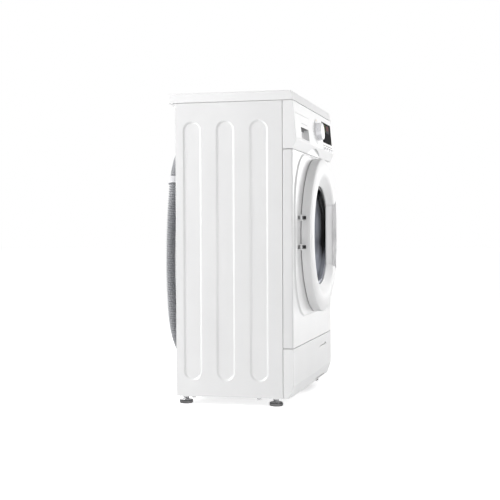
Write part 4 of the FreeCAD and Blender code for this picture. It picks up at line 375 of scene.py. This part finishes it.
def meshFrom(name, shape, smooth=True):
    bmesh.ops.recalc_face_normals(shape, faces=shape.faces)
    for face in shape.faces:
        face.smooth = smooth
    mesh = bpy.data.meshes.new(name)
    shape.to_mesh(mesh)
    shape.free()
    return linkObject(name, mesh)

def pointMesh(name, points, joined=False):
    edges = [(index, index + 1) for index in range(len(points) - 1)] if joined else []
    mesh = bpy.data.meshes.new(name)
    mesh.from_pydata(points, edges, [])
    return linkObject(name, mesh)

# skin over closed rows of corners
def joinRows(shape, rows):
    for first, second in zip(rows, rows[1:]):
        for n in range(len(first)):
            after = (n + 1) % len(first)
            shape.faces.new((first[n], first[after], second[after], second[n]))

def closeRows(shape, rows):
    joinRows(shape, rows)
    shape.faces.new(rows[0][::-1])
    shape.faces.new(rows[-1])

def metres(points):
    return [(along / 1000, radius / 1000) for along, radius in points]

# ring of a closed profile round a line: each profile point is (distance along, radius)
def turnedMesh(name, profile, start, axis, sides=48):
    axis = Vector(axis).normalized()
    across = axis.orthogonal().normalized()
    other = axis.cross(across)
    shape = bmesh.new()
    rings = []
    for along, radius in profile:
        ring = []
        for side in range(sides):
            turn = 2 * math.pi * side / sides
            out = math.cos(turn) * across + math.sin(turn) * other
            ring.append(shape.verts.new(Vector(start) + along * axis + radius * out))
        rings.append(ring)
    joinRows(shape, rings + rings[:1])
    return meshFrom(name, shape)

# smooth closed loop through profile points, for rubber forms
def smoothLoop(points, steps):
    count = len(points)
    loop = []
    for index in range(count):
        before, here, after, beyond = (Vector(points[(index + shift) % count]) for shift in (-1, 0, 1, 2))
        for step in range(steps):
            t = step / steps
            loop.append(tuple(0.5 * (2 * here + (after - before) * t
                                     + (2 * before - 5 * here + 4 * after - beyond) * t * t
                                     + (3 * here - before - 3 * after + beyond) * t ** 3)))
    return loop

def splinePoints(name, route, resolution=16, order=3):
    curve = bpy.data.curves.new(name, "CURVE")
    curve.dimensions = "3D"
    curve.resolution_u = resolution
    spline = curve.splines.new("NURBS")
    spline.points.add(len(route) - 1)
    for point, place in zip(spline.points, route):
        point.co = (*place, 1.0)
    spline.order_u = order
    spline.use_endpoint_u = True
    holder = linkObject(name, curve)
    bpy.context.view_layer.update()
    line = bpy.data.meshes.new_from_object(holder.evaluated_get(bpy.context.evaluated_depsgraph_get()))
    points = [vertex.co.copy() for vertex in line.vertices]
    bpy.data.objects.remove(holder)
    bpy.data.meshes.remove(line)
    return points

def lengthOf(points):
    return sum((b - a).length for a, b in zip(points, points[1:]))


# geometry node trees: each takes its sizes and a finish, and ends as one painted mesh
def newTree(name, inputs):
    tree = bpy.data.node_groups.new(name, "GeometryNodeTree")
    for label, kind in {"Geometry": "Geometry", **inputs, "Finish": "Material"}.items():
        tree.interface.new_socket(name=label, in_out="INPUT", socket_type=f"NodeSocket{kind}")
    tree.interface.new_socket(name="Geometry", in_out="OUTPUT", socket_type="NodeSocketGeometry")
    return tree, addNode(tree, "NodeGroupInput").outputs

def endTree(tree, given, shape):
    whole = addNode(tree, "GeometryNodeRealizeInstances", {"Geometry": shape})
    painted = addNode(tree, "GeometryNodeSetMaterial", {
        "Geometry": whole.outputs[0], "Material": given["Finish"]})
    addNode(tree, "NodeGroupOutput", {0: painted.outputs[0]})
    return tree

def runTree(piece, tree, values):
    modifier = piece.modifiers.new(tree.name, "NODES")
    modifier.node_group = tree
    for item in tree.interface.items_tree:
        if item.item_type == "SOCKET" and item.in_out == "INPUT" and item.name in values:
            modifier[item.identifier] = values[item.name]
    bpy.context.view_layer.update()
    made = bpy.data.meshes.new_from_object(piece.evaluated_get(bpy.context.evaluated_depsgraph_get()))
    piece.modifiers.remove(modifier)
    old = piece.data
    piece.data = made
    bpy.data.meshes.remove(old)
    return piece

# corrugated tube along a line, with a plain cuff at each end
def ribbedTree():
    tree, given = newTree("hoseRibs", {
        "Pitch": "Float", "Crest": "Float", "Root": "Float", "Sharpness": "Float", "Cuff": "Float",
        "Cuff Radius": "Float", "Step": "Float", "Sides": "Int"})
    line = addNode(tree, "GeometryNodeMeshToCurve", {"Mesh": given["Geometry"]})
    even = addNode(tree, "GeometryNodeResampleCurve", {
        "Curve": line.outputs[0], "Length": given["Step"]}, mode="LENGTH")
    along = addNode(tree, "GeometryNodeSplineParameter").outputs["Length"]
    total = addNode(tree, "GeometryNodeSplineLength").outputs["Length"]
    nearest = mathNode(tree, "MINIMUM", along, mathNode(tree, "SUBTRACT", total, along))
    turn = mathNode(tree, "MULTIPLY", mathNode(tree, "DIVIDE", along, given["Pitch"]), 2 * math.pi)
    wave = mathNode(tree, "MULTIPLY_ADD", mathNode(tree, "SINE", turn), given["Sharpness"], 0.5)
    rise = addNode(tree, "ShaderNodeClamp", {"Value": wave}).outputs[0]
    span = mathNode(tree, "SUBTRACT", given["Crest"], given["Root"])
    rib = mathNode(tree, "MULTIPLY_ADD", rise, span, given["Root"])
    isCuff = mathNode(tree, "LESS_THAN", nearest, given["Cuff"])
    radius = addNode(tree, "GeometryNodeSwitch", {
        "Switch": isCuff, "False": rib, "True": given["Cuff Radius"]}, input_type="FLOAT").outputs[0]
    profile = addNode(tree, "GeometryNodeCurvePrimitiveCircle", {"Resolution": given["Sides"], "Radius": 1.0})
    sized = addNode(tree, "GeometryNodeSetCurveRadius", {"Curve": even.outputs[0], "Radius": radius})
    skin = addNode(tree, "GeometryNodeCurveToMesh", {
        "Curve": sized.outputs[0], "Profile Curve": profile.outputs[0], "Fill Caps": True})
    if "Scale" in skin.inputs:
        tree.links.new(radius, skin.inputs["Scale"])
    smooth = addNode(tree, "GeometryNodeSetShadeSmooth", {"Geometry": skin.outputs[0]})
    return endTree(tree, given, smooth.outputs[0])

# one small mesh set on many points, each turned by the point's own "turn" attribute
def scatterTree():
    tree, given = newTree("scatterPieces", {"Piece": "Object"})
    named = addNode(tree, "GeometryNodeInputNamedAttribute", {"Name": "turn"}, data_type="FLOAT_VECTOR")
    attribute = next(socket for socket in named.outputs if socket.enabled and socket.type == "VECTOR")
    turn = addNode(tree, "FunctionNodeEulerToRotation", {"Euler": attribute})
    shape = addNode(tree, "GeometryNodeObjectInfo", {"Object": given["Piece"]}, transform_space="ORIGINAL")
    placed = addNode(tree, "GeometryNodeInstanceOnPoints", {
        "Points": given["Geometry"], "Instance": shape.outputs["Geometry"], "Rotation": turn.outputs[0]})
    return endTree(tree, given, placed.outputs[0])

# coil spring standing on each point
def coilTree():
    tree, given = newTree("coilSprings", {
        "Turns": "Float", "Turn Steps": "Int", "Radius": "Float", "Wire": "Float", "Wire Sides": "Int",
        "Height": "Float"})
    coil = addNode(tree, "GeometryNodeCurveSpiral", {
        "Resolution": given["Turn Steps"], "Rotations": given["Turns"], "Start Radius": given["Radius"],
        "End Radius": given["Radius"], "Height": given["Height"]})
    wire = addNode(tree, "GeometryNodeCurvePrimitiveCircle", {
        "Resolution": given["Wire Sides"], "Radius": given["Wire"]})
    skin = addNode(tree, "GeometryNodeCurveToMesh", {
        "Curve": coil.outputs[0], "Profile Curve": wire.outputs[0], "Fill Caps": True})
    smooth = addNode(tree, "GeometryNodeSetShadeSmooth", {"Geometry": skin.outputs[0]})
    placed = addNode(tree, "GeometryNodeInstanceOnPoints", {
        "Points": given["Geometry"], "Instance": smooth.outputs[0]})
    return endTree(tree, given, placed.outputs[0])

hoseRibs = ribbedTree()
scatterPieces = scatterTree()

# each spot is (place, the way that the piece faces, its turn about that); the source mesh is used up
def scatter(name, source, spots, finish, body):
    piece = pointMesh(name, [place for place, facing, spin in spots])
    turns = piece.data.attributes.new("turn", "FLOAT_VECTOR", "POINT")
    for row, (place, facing, spin) in zip(turns.data, spots):
        upright = Vector(facing).to_track_quat("Z", "Y").to_matrix()
        row.vector = (upright @ Matrix.Rotation(spin, 3, "Z")).to_euler()
    runTree(piece, scatterPieces, {"Piece": source, "Finish": finish})
    bpy.data.objects.remove(source)
    return finishPiece(piece, body)


# drain hose: one smooth curve up the left of the back and over to the right, ribbed between two cuffs
drainHose = {
    "route": [
        (-0.066, 0.180455, 0.112), (-0.141, 0.180955, 0.1125), (-0.214, 0.182455, 0.154),
        (-0.255, 0.186455, 0.227), (-0.257, 0.191455, 0.340), (-0.2575, 0.190955, 0.445),
        (-0.255, 0.186955, 0.540), (-0.247, 0.182455, 0.622), (-0.212, 0.180455, 0.682),
        (-0.152, 0.179955, 0.716), (-0.078, 0.180455, 0.722), (0.005, 0.180455, 0.716),
        (0.085, 0.180955, 0.7165), (0.150, 0.180455, 0.722),
    ],
    "crest": 0.014, "root": 0.0112, "pitch": 0.0066, "sharpness": 1.6, "cuff": 0.034, "cuffRadius": 0.013,
    "sides": 32, "steps": 10,
}
# open rubber cuff on its free end, its profile in millimetres along and out
hoseEnd = {
    "over": 0.036,
    "profile": [
        (0.0, 13.2), (0.0, 16.4), (0.8, 17.2), (28.0, 17.2), (30.0, 18.2), (30.8, 18.8), (35.2, 18.8),
        (36.0, 18.2), (37.5, 17.2), (45.0, 16.8), (46.0, 15.8), (46.0, 9.8), (37.0, 9.8), (36.5, 13.2),
    ],
}

def makeHoseEnd(setup, points):
    ahead = (points[-1] - points[-2]).normalized()
    start = points[-1] - setup["over"] * ahead
    cuff = turnedMesh("hoseEndCuff", metres(setup["profile"]), start, ahead)
    return finishPiece(cuff, "cabinet", finishes["grey_rubber"])

def ribbedHose(name, setup, finish):
    points = splinePoints(name, setup["route"])
    length = lengthOf(points)
    hose = pointMesh(name, points, joined=True)
    ribbed = length - 2 * setup["cuff"]
    ribs = round(ribbed / setup["pitch"])
    pitch = ribbed / ribs
    runTree(hose, hoseRibs, {
        "Pitch": pitch, "Crest": setup["crest"], "Root": setup["root"], "Sharpness": setup["sharpness"],
        "Cuff": setup["cuff"], "Cuff Radius": setup["cuffRadius"], "Step": pitch / setup["steps"],
        "Sides": setup["sides"], "Finish": finish})
    print(name, round(length, 3), "m,", ribs, "ribs,", len(hose.data.polygons), "faces")
    return hose, points, length

def makeDrainHose(setup):
    hose, points, length = ribbedHose("drainHose", setup, finishes["hose_grey"])
    finishPiece(hose, "cabinet")
    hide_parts("drain_hose")
    makeHoseEnd(hoseEnd, points)

makeDrainHose(drainHose)


# hoses inside the cabinet: pump to the back panel, and valve to the detergent drawer
innerHose = {
    "route": [(0.107, -0.037545, 0.080), (-0.045, -0.037545, 0.080), (-0.045, 0.110055, 0.112),
              (-0.045, 0.140055, 0.112)],
    "crest": 0.010, "root": 0.0086, "pitch": 0.0048, "sharpness": 1.6, "cuff": 0.022, "cuffRadius": 0.0098,
    "sides": 24, "steps": 6,
}
fillHose = {
    "line": ((-0.180, 0.053, 0.770), (-0.180, 0.112755, 0.770)), "radius": 0.0076, "bore": 0.006, "sides": 32,
    "band": 0.0008, "bandWide": 0.007, "bandInset": 0.006, "bandFoot": 0.0004, "bandEdge": 0.0006,
}

def makeInnerHose(setup):
    hose = ribbedHose("innerDrainHose", setup, finishes["grey_rubber"])[0]
    finishPiece(hose, "cabinet")
    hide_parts("inner_drain_hose")

def makeFillHose(setup):
    start, end = (Vector(point) for point in setup["line"])
    long = (end - start).length
    radius, band, foot, edge = (setup[key] for key in ("radius", "band", "bandFoot", "bandEdge"))
    profile = [(0.0, setup["bore"]), (0.0, radius)]
    for low in (setup["bandInset"], long - setup["bandInset"] - setup["bandWide"]):
        high = low + setup["bandWide"]
        profile += [(low - foot, radius), (low, radius + band / 2), (low + edge, radius + band),
                    (high - edge, radius + band), (high, radius + band / 2), (high + foot, radius)]
    profile += [(long, radius), (long, setup["bore"])]
    hose = turnedMesh("fillHose", profile, start, end - start, setup["sides"])
    finishPiece(hose, "cabinet", finishes["grey_rubber"])
    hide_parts("fill_hose")

makeInnerHose(innerHose)
makeFillHose(fillHose)


# upright rubber bellows between the cabinet and the sprung tub
bellowsSets = {
    "sump_hose": {
        "radius": 0.017, "swell": 0.0056, "wall": 0.0024, "folds": 6, "cuff": 0.013, "tubAtTop": True},
    "dispenser_hose": {
        "radius": 0.014, "swell": 0.0056, "wall": 0.0024, "folds": 2, "cuff": 0.004, "tubAtTop": False},
}

def makeBellows(node, setup, foldSteps=12, sides=40):
    low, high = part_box(node)
    x, y = (low[0] + high[0]) / 2, (low[1] + high[1]) / 2
    long = high[2] - low[2]
    cuff, wall = setup["cuff"], setup["wall"]
    steps = foldSteps * setup["folds"]
    outer = [(0.0, setup["radius"])]
    for step in range(steps + 1):
        share = step / steps
        swell = 0.5 - 0.5 * math.cos(2 * math.pi * setup["folds"] * share)
        outer.append((cuff + (long - 2 * cuff) * share, setup["radius"] + setup["swell"] * swell))
    outer.append((long, setup["radius"]))
    inner = [(along, radius - wall) for along, radius in reversed(outer)]
    piece = turnedMesh(node + "Folds", outer + inner, (x, y, low[2]), (0, 0, 1), sides)
    piece.data.materials.append(finishes["grey_rubber"])
    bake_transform(piece)
    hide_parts(node)

for node, setup in bellowsSets.items():
    makeBellows(node, setup)
print("bellows folded")


# door gasket: a folded rubber ring from the pressed door lip to the tub mouth, its loop in millimetres
gasket = {
    "front": -0.135045, "axisHeight": 0.462, "blendFrom": 0.006, "blendTo": 0.026, "steps": 4, "sides": 160,
    "loop": [
        (0.3, 124.4), (0.0, 130.0), (0.0, 140.0), (0.0, 150.0), (0.3, 158.2), (1.9, 159.6), (3.7, 158.6),
        (4.2, 152.0), (5.2, 146.6), (8.8, 143.0), (12.4, 146.6), (16.0, 142.6), (19.6, 146.2), (23.0, 143.2),
        (25.1, 150.0), (25.2, 159.0), (26.2, 163.4), (29.0, 164.0), (32.2, 163.4), (33.1, 159.0),
        (32.9, 153.8), (31.2, 152.4), (29.4, 150.6), (28.3, 144.6), (25.4, 139.6), (22.2, 138.8),
        (19.2, 141.6), (15.8, 138.4), (12.4, 141.8), (8.8, 138.4), (6.6, 138.6), (5.2, 135.8),
        (4.2, 131.0), (2.4, 126.2),
    ],
}

def makeGasket(setup):
    front, height = setup["front"], setup["axisHeight"]
    loop = smoothLoop(metres(setup["loop"]), setup["steps"])
    ring = turnedMesh("doorGasketFolds", loop, (0.0, front, height), (0, 1, 0), setup["sides"])
    ring.data.materials.append(finishes["grey_rubber"])
    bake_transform(ring)
    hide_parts("door_gasket")

makeGasket(gasket)
print("gasket folded")


# coil springs that carry the tub
tubSprings = {"turns": 14.0, "turnSteps": 24, "radius": 0.011, "wire": 0.0015, "wireSides": 10}

def makeSprings(setup):
    low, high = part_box("suspension_springs")
    x = high[0] - setup["radius"] - setup["wire"]
    y = (low[1] + high[1]) / 2
    base = low[2] + setup["wire"]
    springs = pointMesh("tubSprings", [(-x, y, base), (x, y, base)])
    runTree(springs, coilTree(), {
        "Turns": setup["turns"], "Turn Steps": setup["turnSteps"], "Radius": setup["radius"],
        "Wire": setup["wire"], "Wire Sides": setup["wireSides"],
        "Height": high[2] - low[2] - 2 * setup["wire"], "Finish": finishes["zinc_steel"]})
    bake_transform(springs)
    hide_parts("suspension_springs")
    print("springs", len(springs.data.polygons), "faces")

makeSprings(tubSprings)


# pierced holes of the drum, in staggered rows between the lifters and in rings on its back: shallow dimples
# painted near black, painted shade for the dark through each hole
drumHoles = {
    "axisHeight": 0.462, "wallRadius": 0.2303, "front": -0.058, "pitch": 0.0135, "rows": 10, "columns": 84,
    "lifters": (60.0, 180.0, 300.0), "lifterHalf": 8.5,
    "backPlane": 0.09975, "backRings": (0.062, 0.092, 0.122, 0.152, 0.182), "backPitch": 0.030,
    "radius": 0.0021, "mouth": 1.35, "sink": 0.00035, "sides": 10,
}

def holeMesh(setup):
    shape = bmesh.new()
    rings = []
    for radius, height in ((setup["radius"] * setup["mouth"], 0.0), (setup["radius"], setup["sink"])):
        turns = [2 * math.pi * n / setup["sides"] for n in range(setup["sides"])]
        rings.append([shape.verts.new((radius * math.cos(turn), radius * math.sin(turn), height))
                      for turn in turns])
    closeRows(shape, rings)
    return meshFrom("drumHole", shape, smooth=False)

def pierceDrum(setup):
    axisHeight = setup["axisHeight"]
    spots = []
    for row in range(setup["rows"]):
        y = setup["front"] + row * setup["pitch"]
        for column in range(setup["columns"]):
            angle = 360.0 * (column + 0.5 * (row % 2)) / setup["columns"]
            aside = (abs((angle - lifter + 180) % 360 - 180) for lifter in setup["lifters"])
            if min(aside) < setup["lifterHalf"]:
                continue
            out = Vector((math.sin(math.radians(angle)), 0.0, math.cos(math.radians(angle))))
            spots.append((setup["wallRadius"] * out + Vector((0, y, axisHeight)), -out, 0.0))
    for radius in setup["backRings"]:
        count = round(2 * math.pi * radius / setup["backPitch"])
        for index in range(count):
            angle = 2 * math.pi * index / count
            place = (radius * math.sin(angle), setup["backPlane"], axisHeight + radius * math.cos(angle))
            spots.append((Vector(place), Vector((0, -1, 0)), 0.0))
    scatter("drumPerforations", holeMesh(setup), spots, prints["hole"], "drum")
    print("drum holes", len(spots))

pierceDrum(drumHoles)


# hexagon screws with a round flange: shares of the flange's height, of its radius and of the head's height
screwForm = {"sides": 18, "flangeSide": 0.6, "flangeTop": 0.92, "hexSide": 0.85}

def hexScrewMesh(setup, form):
    flange, flat, head, high = (setup[key] for key in ("flange", "flangeHigh", "hex", "hexHigh"))
    levels = [
        (flange, 0.0, False), (flange, flat * form["flangeSide"], False),
        (flange * form["flangeTop"], flat, False), (head, flat, True),
        (head, high * form["hexSide"], True), (setup["crown"], high, True),
    ]
    shape = bmesh.new()
    rows = []
    for radius, height, isHex in levels:
        row = []
        for n in range(form["sides"]):
            turn = 2 * math.pi * n / form["sides"]
            reach = radius
            if isHex:
                reach *= math.cos(math.pi / 6) / math.cos(turn % (math.pi / 3) - math.pi / 6)
            row.append(shape.verts.new((reach * math.cos(turn), reach * math.sin(turn), height)))
        rows.append(row)
    closeRows(shape, rows)
    return meshFrom("hexScrew", shape, smooth=False)


# screws and transit plugs on the back, the plug's profile in millimetres
backFixings = {
    "panelPlane": 0.162255, "coverPlane": 0.163455, "tabPlane": 0.169455, "axisHeight": 0.462,
    "edgeX": 0.287, "edgeHeights": (0.062, 0.240, 0.420, 0.600, 0.775),
    "footX": (-0.18, 0.06, 0.19), "footHeight": 0.038,
    "coverRadius": 0.149, "coverCount": 8, "tabX": 0.283, "tabHeight": 0.8165, "spinStep": 0.3,
    "flange": 0.0052, "flangeHigh": 0.0009, "hex": 0.0036, "hexHigh": 0.0034, "crown": 0.0028,
    "plugs": [(-0.168, 0.330), (0.168, 0.330), (-0.168, 0.604), (0.168, 0.604)], "plugSides": 28,
    "plugProfile": [(0.0, 0.2), (0.0, 17.0), (1.4, 17.0), (2.2, 16.2), (2.4, 14.0), (1.4, 12.8), (1.2, 10.0),
                    (4.0, 8.5), (4.6, 0.2)],
}

def fixBack(setup):
    back = Vector((0, 1, 0))
    places = [(side * setup["edgeX"], setup["panelPlane"], height)
              for height in setup["edgeHeights"] for side in (-1, 1)]
    places += [(x, setup["panelPlane"], setup["footHeight"]) for x in setup["footX"]]
    for index in range(setup["coverCount"]):
        angle = 2 * math.pi * (index + 0.5) / setup["coverCount"]
        places.append((setup["coverRadius"] * math.sin(angle), setup["coverPlane"],
                       setup["axisHeight"] + setup["coverRadius"] * math.cos(angle)))
    places += [(side * setup["tabX"], setup["tabPlane"], setup["tabHeight"]) for side in (-1, 1)]
    spots = [(Vector(place), back, setup["spinStep"] * index) for index, place in enumerate(places)]
    screw = hexScrewMesh(setup, screwForm)
    scatter("backScrews", screw, spots, finishes["zinc_steel"], "cabinet")
    plug = turnedMesh("transitPlug", metres(setup["plugProfile"]), (0, 0, 0), (0, 0, 1), setup["plugSides"])
    plugSpots = [(Vector((x, setup["panelPlane"], z)), back, 0.0) for x, z in setup["plugs"]]
    scatter("transitPlugs", plug, plugSpots, finishes["grey_plastic"], "cabinet")
    print("back screws", len(spots), "and", len(plugSpots), "transit plugs")

fixBack(backFixings)


# bolts under the side flanges, between the feet
baseBolts = {
    "x": 0.2885, "ys": (0.117, -0.066), "plane": 0.0230, "spin": 0.2,
    "flange": 0.0075, "flangeHigh": 0.0012, "hex": 0.0055, "hexHigh": 0.0048, "crown": 0.0044,
}

def boltBase(setup):
    down = Vector((0, 0, -1))
    spots = [(Vector((side * setup["x"], y, setup["plane"])), down, setup["spin"])
             for side in (-1, 1) for y in setup["ys"]]
    bolt = hexScrewMesh(setup, screwForm)
    scatter("baseBolts", bolt, spots, finishes["zinc_steel"], "cabinet")
    print("base bolts", len(spots))

boltBase(baseBolts)


# thread on the water inlet: flanks gives where each turn leaves the root, has its crest and is back
inletThread = {
    "place": (-0.180, 0.164655, 0.770), "long": 0.0142, "pitch": 0.0018, "root": 0.0131, "crest": 0.0140,
    "flanks": (0.0002, 0.0007, 0.0011, 0.0016), "wall": 0.002, "sides": 40,
}

def makeThread(setup):
    long, root, crest = setup["long"], setup["root"], setup["crest"]
    bore = root - setup["wall"]
    profile = [(0.0, bore), (0.0, root)]
    for turn in range(int(long / setup["pitch"])):
        for flank, radius in zip(setup["flanks"], (root, crest, crest, root)):
            profile.append((turn * setup["pitch"] + flank, radius))
    profile += [(long, root), (long, bore)]
    thread = turnedMesh("inletThread", profile, setup["place"], (0, 1, 0), setup["sides"])
    finishPiece(thread, "cabinet", finishes["white_plastic"])
    print("inlet threaded")

makeThread(inletThread)


# console face: marks, display and key labels lie on the leaning plane
consoleFace = {"y": -0.173545, "z": 0.720, "run": 9.5, "rise": 103.0}

def onFace(x, up, out):
    slope = math.hypot(consoleFace["run"], consoleFace["rise"])
    lean, climb = consoleFace["run"] / slope, consoleFace["rise"] / slope
    return Vector((x, consoleFace["y"] + up * lean - out * climb, consoleFace["z"] + up * climb + out * lean))

# thin raised print in millimetres on the face: each bar is (left, right, low, high, turn), out is from and to
def faceBars(name, bars, out, ink, body="cabinet"):
    shape = bmesh.new()
    for left, right, bottom, top, turn in bars:
        centre = Vector(((left + right) / 2, (bottom + top) / 2))
        corners = []
        for x, up in ((left, bottom), (right, bottom), (right, top), (left, top)):
            arm = Vector((x, up)) - centre
            arm.rotate(Matrix.Rotation(turn, 2))
            corners.append(centre + arm)
        closeRows(shape, [[shape.verts.new(onFace(corner.x / 1000, corner.y / 1000, level / 1000))
                           for corner in corners] for level in out])
    return finishPiece(meshFrom(name, shape, smooth=False), body, prints[ink])

def barAt(x, up, size, turn=0.0):
    wide, high = size
    return x - wide / 2, x + wide / 2, up - high / 2, up + high / 2, turn

def barFrom(left, low, size):
    wide, high = size
    return left, left + wide, low, low + high, 0.0

# ticks round the dial, a mark at its start, lines for the programmes and a pointer in the knob's groove
dialPrint = {
    "x": 30.0, "up": 47.0, "radius": 33.5, "count": 16, "tick": (0.9, 4.2), "tickOut": (1.0, 1.32),
    "startMark": (3.2, 5.6), "startOut": (1.0, 1.4),
    "lineIn": 43.0, "lineLong": (15.0, 11.0, 17.0, 13.0, 12.0, 16.0), "linePitch": 8.4, "lineHigh": 1.1,
    "lineOut": (-0.1, 0.12),
    "pointer": (13.6, 24.2), "pointerWide": 2.2, "pointerOut": (17.7, 18.1),
}

def makeDialPrint(setup):
    x, up, radius = setup["x"], setup["up"], setup["radius"]
    ticks = []
    for index in range(1, setup["count"]):
        turn = 2 * math.pi * index / setup["count"]
        ticks.append(barAt(x + radius * math.sin(turn), up + radius * math.cos(turn), setup["tick"], -turn))
    faceBars("dialTicks", ticks, setup["tickOut"], "paleGrey")
    startMark = barAt(x, up + radius, setup["startMark"])
    faceBars("dialStartMark", [startMark], setup["startOut"], "yellow")
    middle = (len(setup["lineLong"]) - 1) / 2
    lines = []
    for side in (-1, 1):
        for index, long in enumerate(setup["lineLong"]):
            centre = x + side * (setup["lineIn"] + long / 2)
            height = up + (index - middle) * setup["linePitch"]
            lines.append(barAt(centre, height, (long, setup["lineHigh"])))
    faceBars("dialProgramLines", lines, setup["lineOut"], "paleGrey")
    near, far = setup["pointer"]
    pointer = barAt(x, up + (near + far) / 2, (setup["pointerWide"], far - near))
    faceBars("knobPointer", [pointer], setup["pointerOut"], "darkGrey", "knob")

# seven-segment figures of the time left, and the step marks beside them
displayPrint = {
    "panel": (193.0, 250.0, 57.0, 82.0, 0.0), "panelOut": (-0.2, 0.10),
    "digits": (2, 5, 9), "segments": {2: "abged", 5: "afgcd", 9: "abcdfg"}, "figureOut": (0.05, 0.22),
    "left": 202.0, "low": 66.5, "wide": 8.0, "high": 13.0, "pitch": 14.0, "stroke": 1.6,
    "colonBack": 3.6, "colonRises": (3.5, 8.0), "colonDot": (1.5, 1.5),
    "iconLeft": 188.0, "iconLow": 33.0, "icon": (4.0, 2.4), "iconPitch": 11.0, "iconCount": 7,
    "stepLeft": 173.0, "stepLow": 58.0, "step": (6.5, 3.4), "stepPitch": 4.9, "stepCount": 5,
    "markOut": (-0.2, 0.12),
}

def makeDisplayPrint(setup):
    faceBars("displayPanel", [setup["panel"]], setup["panelOut"], "slate")
    wide, tall, stroke, low = setup["wide"], setup["high"], setup["stroke"], setup["low"]
    across, upright = (wide, stroke), (stroke, tall / 2)
    middle = low + tall / 2
    bars = []
    for number, digit in enumerate(setup["digits"]):
        x = setup["left"] + number * setup["pitch"]
        right = x + wide - stroke
        where = {
            "a": barFrom(x, low + tall - stroke, across), "d": barFrom(x, low, across),
            "g": barFrom(x, middle - stroke / 2, across),
            "f": barFrom(x, middle, upright), "e": barFrom(x, low, upright),
            "b": barFrom(right, middle, upright), "c": barFrom(right, low, upright),
        }
        bars += [where[segment] for segment in setup["segments"][digit]]
    colon = setup["left"] + setup["pitch"] - setup["colonBack"]
    bars += [barFrom(colon, low + rise, setup["colonDot"]) for rise in setup["colonRises"]]
    faceBars("displayFigures", bars, setup["figureOut"], "red")
    icons = [barFrom(setup["iconLeft"] + n * setup["iconPitch"], setup["iconLow"], setup["icon"])
             for n in range(setup["iconCount"])]
    faceBars("displayIcons", icons, setup["markOut"], "slate")
    steps = [barFrom(setup["stepLeft"], setup["stepLow"] + n * setup["stepPitch"], setup["step"])
             for n in range(setup["stepCount"])]
    faceBars("displaySteps", steps, setup["markOut"], "lime")

# a broken line over each key, a lamp dot beside it and dashes on the key itself
keyPrint = {
    "bodies": ("start_button", "temperature_button", "spin_button", "option_button"),
    "left": 123.5, "pitch": 41.0, "wide": 32.0,
    "low": 14.2, "high": 16.2, "inset": 3.5, "split": (0.55, 0.62), "endInset": 1.0, "lineOut": (-0.1, 0.12),
    "dot": (1.6, 1.6), "dotRise": 0.2, "dotOut": (-0.1, 0.25),
    "dashes": (3.4, 2.2, 4.0, 2.6, 3.2), "dashInset": 5.0, "dashLow": 4.2, "dashHigh": 4.6, "between": 1.3,
    "dashOut": (1.7, 1.9),
}

def makeKeyPrint(setup):
    low, high, wide = setup["low"], setup["high"], setup["wide"]
    firstEnd, secondStart = setup["split"]
    lines = []
    dots = []
    for number, body in enumerate(setup["bodies"]):
        x = setup["left"] + number * setup["pitch"]
        lines.append((x + setup["inset"], x + wide * firstEnd, low, high, 0.0))
        lines.append((x + wide * secondStart, x + wide - setup["endInset"], low, high, 0.0))
        dots.append(barFrom(x, low + setup["dotRise"], setup["dot"]))
        dashes = []
        start = x + setup["dashInset"]
        for long in setup["dashes"]:
            dashes.append(barFrom(start, setup["dashLow"], (long, setup["dashHigh"])))
            start += long + setup["between"]
        faceBars(body + "Dashes", dashes, setup["dashOut"], "darkGrey", body)
    faceBars("keyLines", lines, setup["lineOut"], "darkGrey")
    faceBars("keyLamps", dots, setup["dotOut"], "red")

makeDialPrint(dialPrint)
makeDisplayPrint(displayPrint)
makeKeyPrint(keyPrint)
print("console printed")


# painted shade: a dark grey sheet under the lip of the drawer's finger pull, up behind it and down the back,
# stands in for the shade in the pull; and a line above it
pullShadeSheet = {
    "left": -0.2196, "right": -0.1054, "thick": 0.0004,
    "path": [(-0.1692, 0.75895), (-0.15905, 0.75895), (-0.15905, 0.76595), (-0.15560, 0.76595),
             (-0.15560, 0.7530)],
    "line": (-208.0, -118.0, 49.6, 50.8, 0.0), "lineOut": (-0.1, 0.15),
}

def makePullShadeSheet(setup):
    left, right = setup["left"], setup["right"]
    path = [Vector(point) for point in setup["path"]]
    shape = bmesh.new()
    rows = []
    for index, point in enumerate(path):
        sides = []
        for a, b in ((index - 1, index), (index, index + 1)):
            if 0 <= a and b < len(path):
                along = (path[b] - path[a]).normalized()
                sides.append(Vector((along.y, -along.x)))
        inner = point + setup["thick"] * sum(sides, Vector((0, 0)))
        corners = ((left, *point), (right, *point), (right, *inner), (left, *inner))
        rows.append([shape.verts.new(corner) for corner in corners])
    closeRows(shape, rows)
    shadeSheet = meshFrom("drawerPullLining", shape, smooth=False)
    finishPiece(shadeSheet, "drawer", prints["pullPaintedShade"])
    faceBars("drawerLine", [setup["line"]], setup["lineOut"], "paleGrey", "drawer")

makePullShadeSheet(pullShadeSheet)
print("drawer pull lined")


# pale plate that closes the fingertip slot of the door handle from behind
gripBacking = {"gap": 0.0003, "thick": 0.0013, "sink": 0.0022, "deep": 0.0093, "half": 0.0175}

def makeGripBacking(setup):
    low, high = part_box("handle_cup")
    middle = (low[2] + high[2]) / 2
    first = Vector((high[0] + setup["gap"], low[1] + setup["sink"], middle - setup["half"]))
    size = Vector((setup["thick"], setup["deep"], 2 * setup["half"]))
    shape = bmesh.new()
    bmesh.ops.create_cube(shape, matrix=Matrix.LocRotScale(first + size / 2, None, size))
    plate = meshFrom("handleGripBacking", shape, smooth=False)
    finishPiece(plate, "door", finishes["door_white"])

makeGripBacking(gripBacking)
print("handle slot backed")
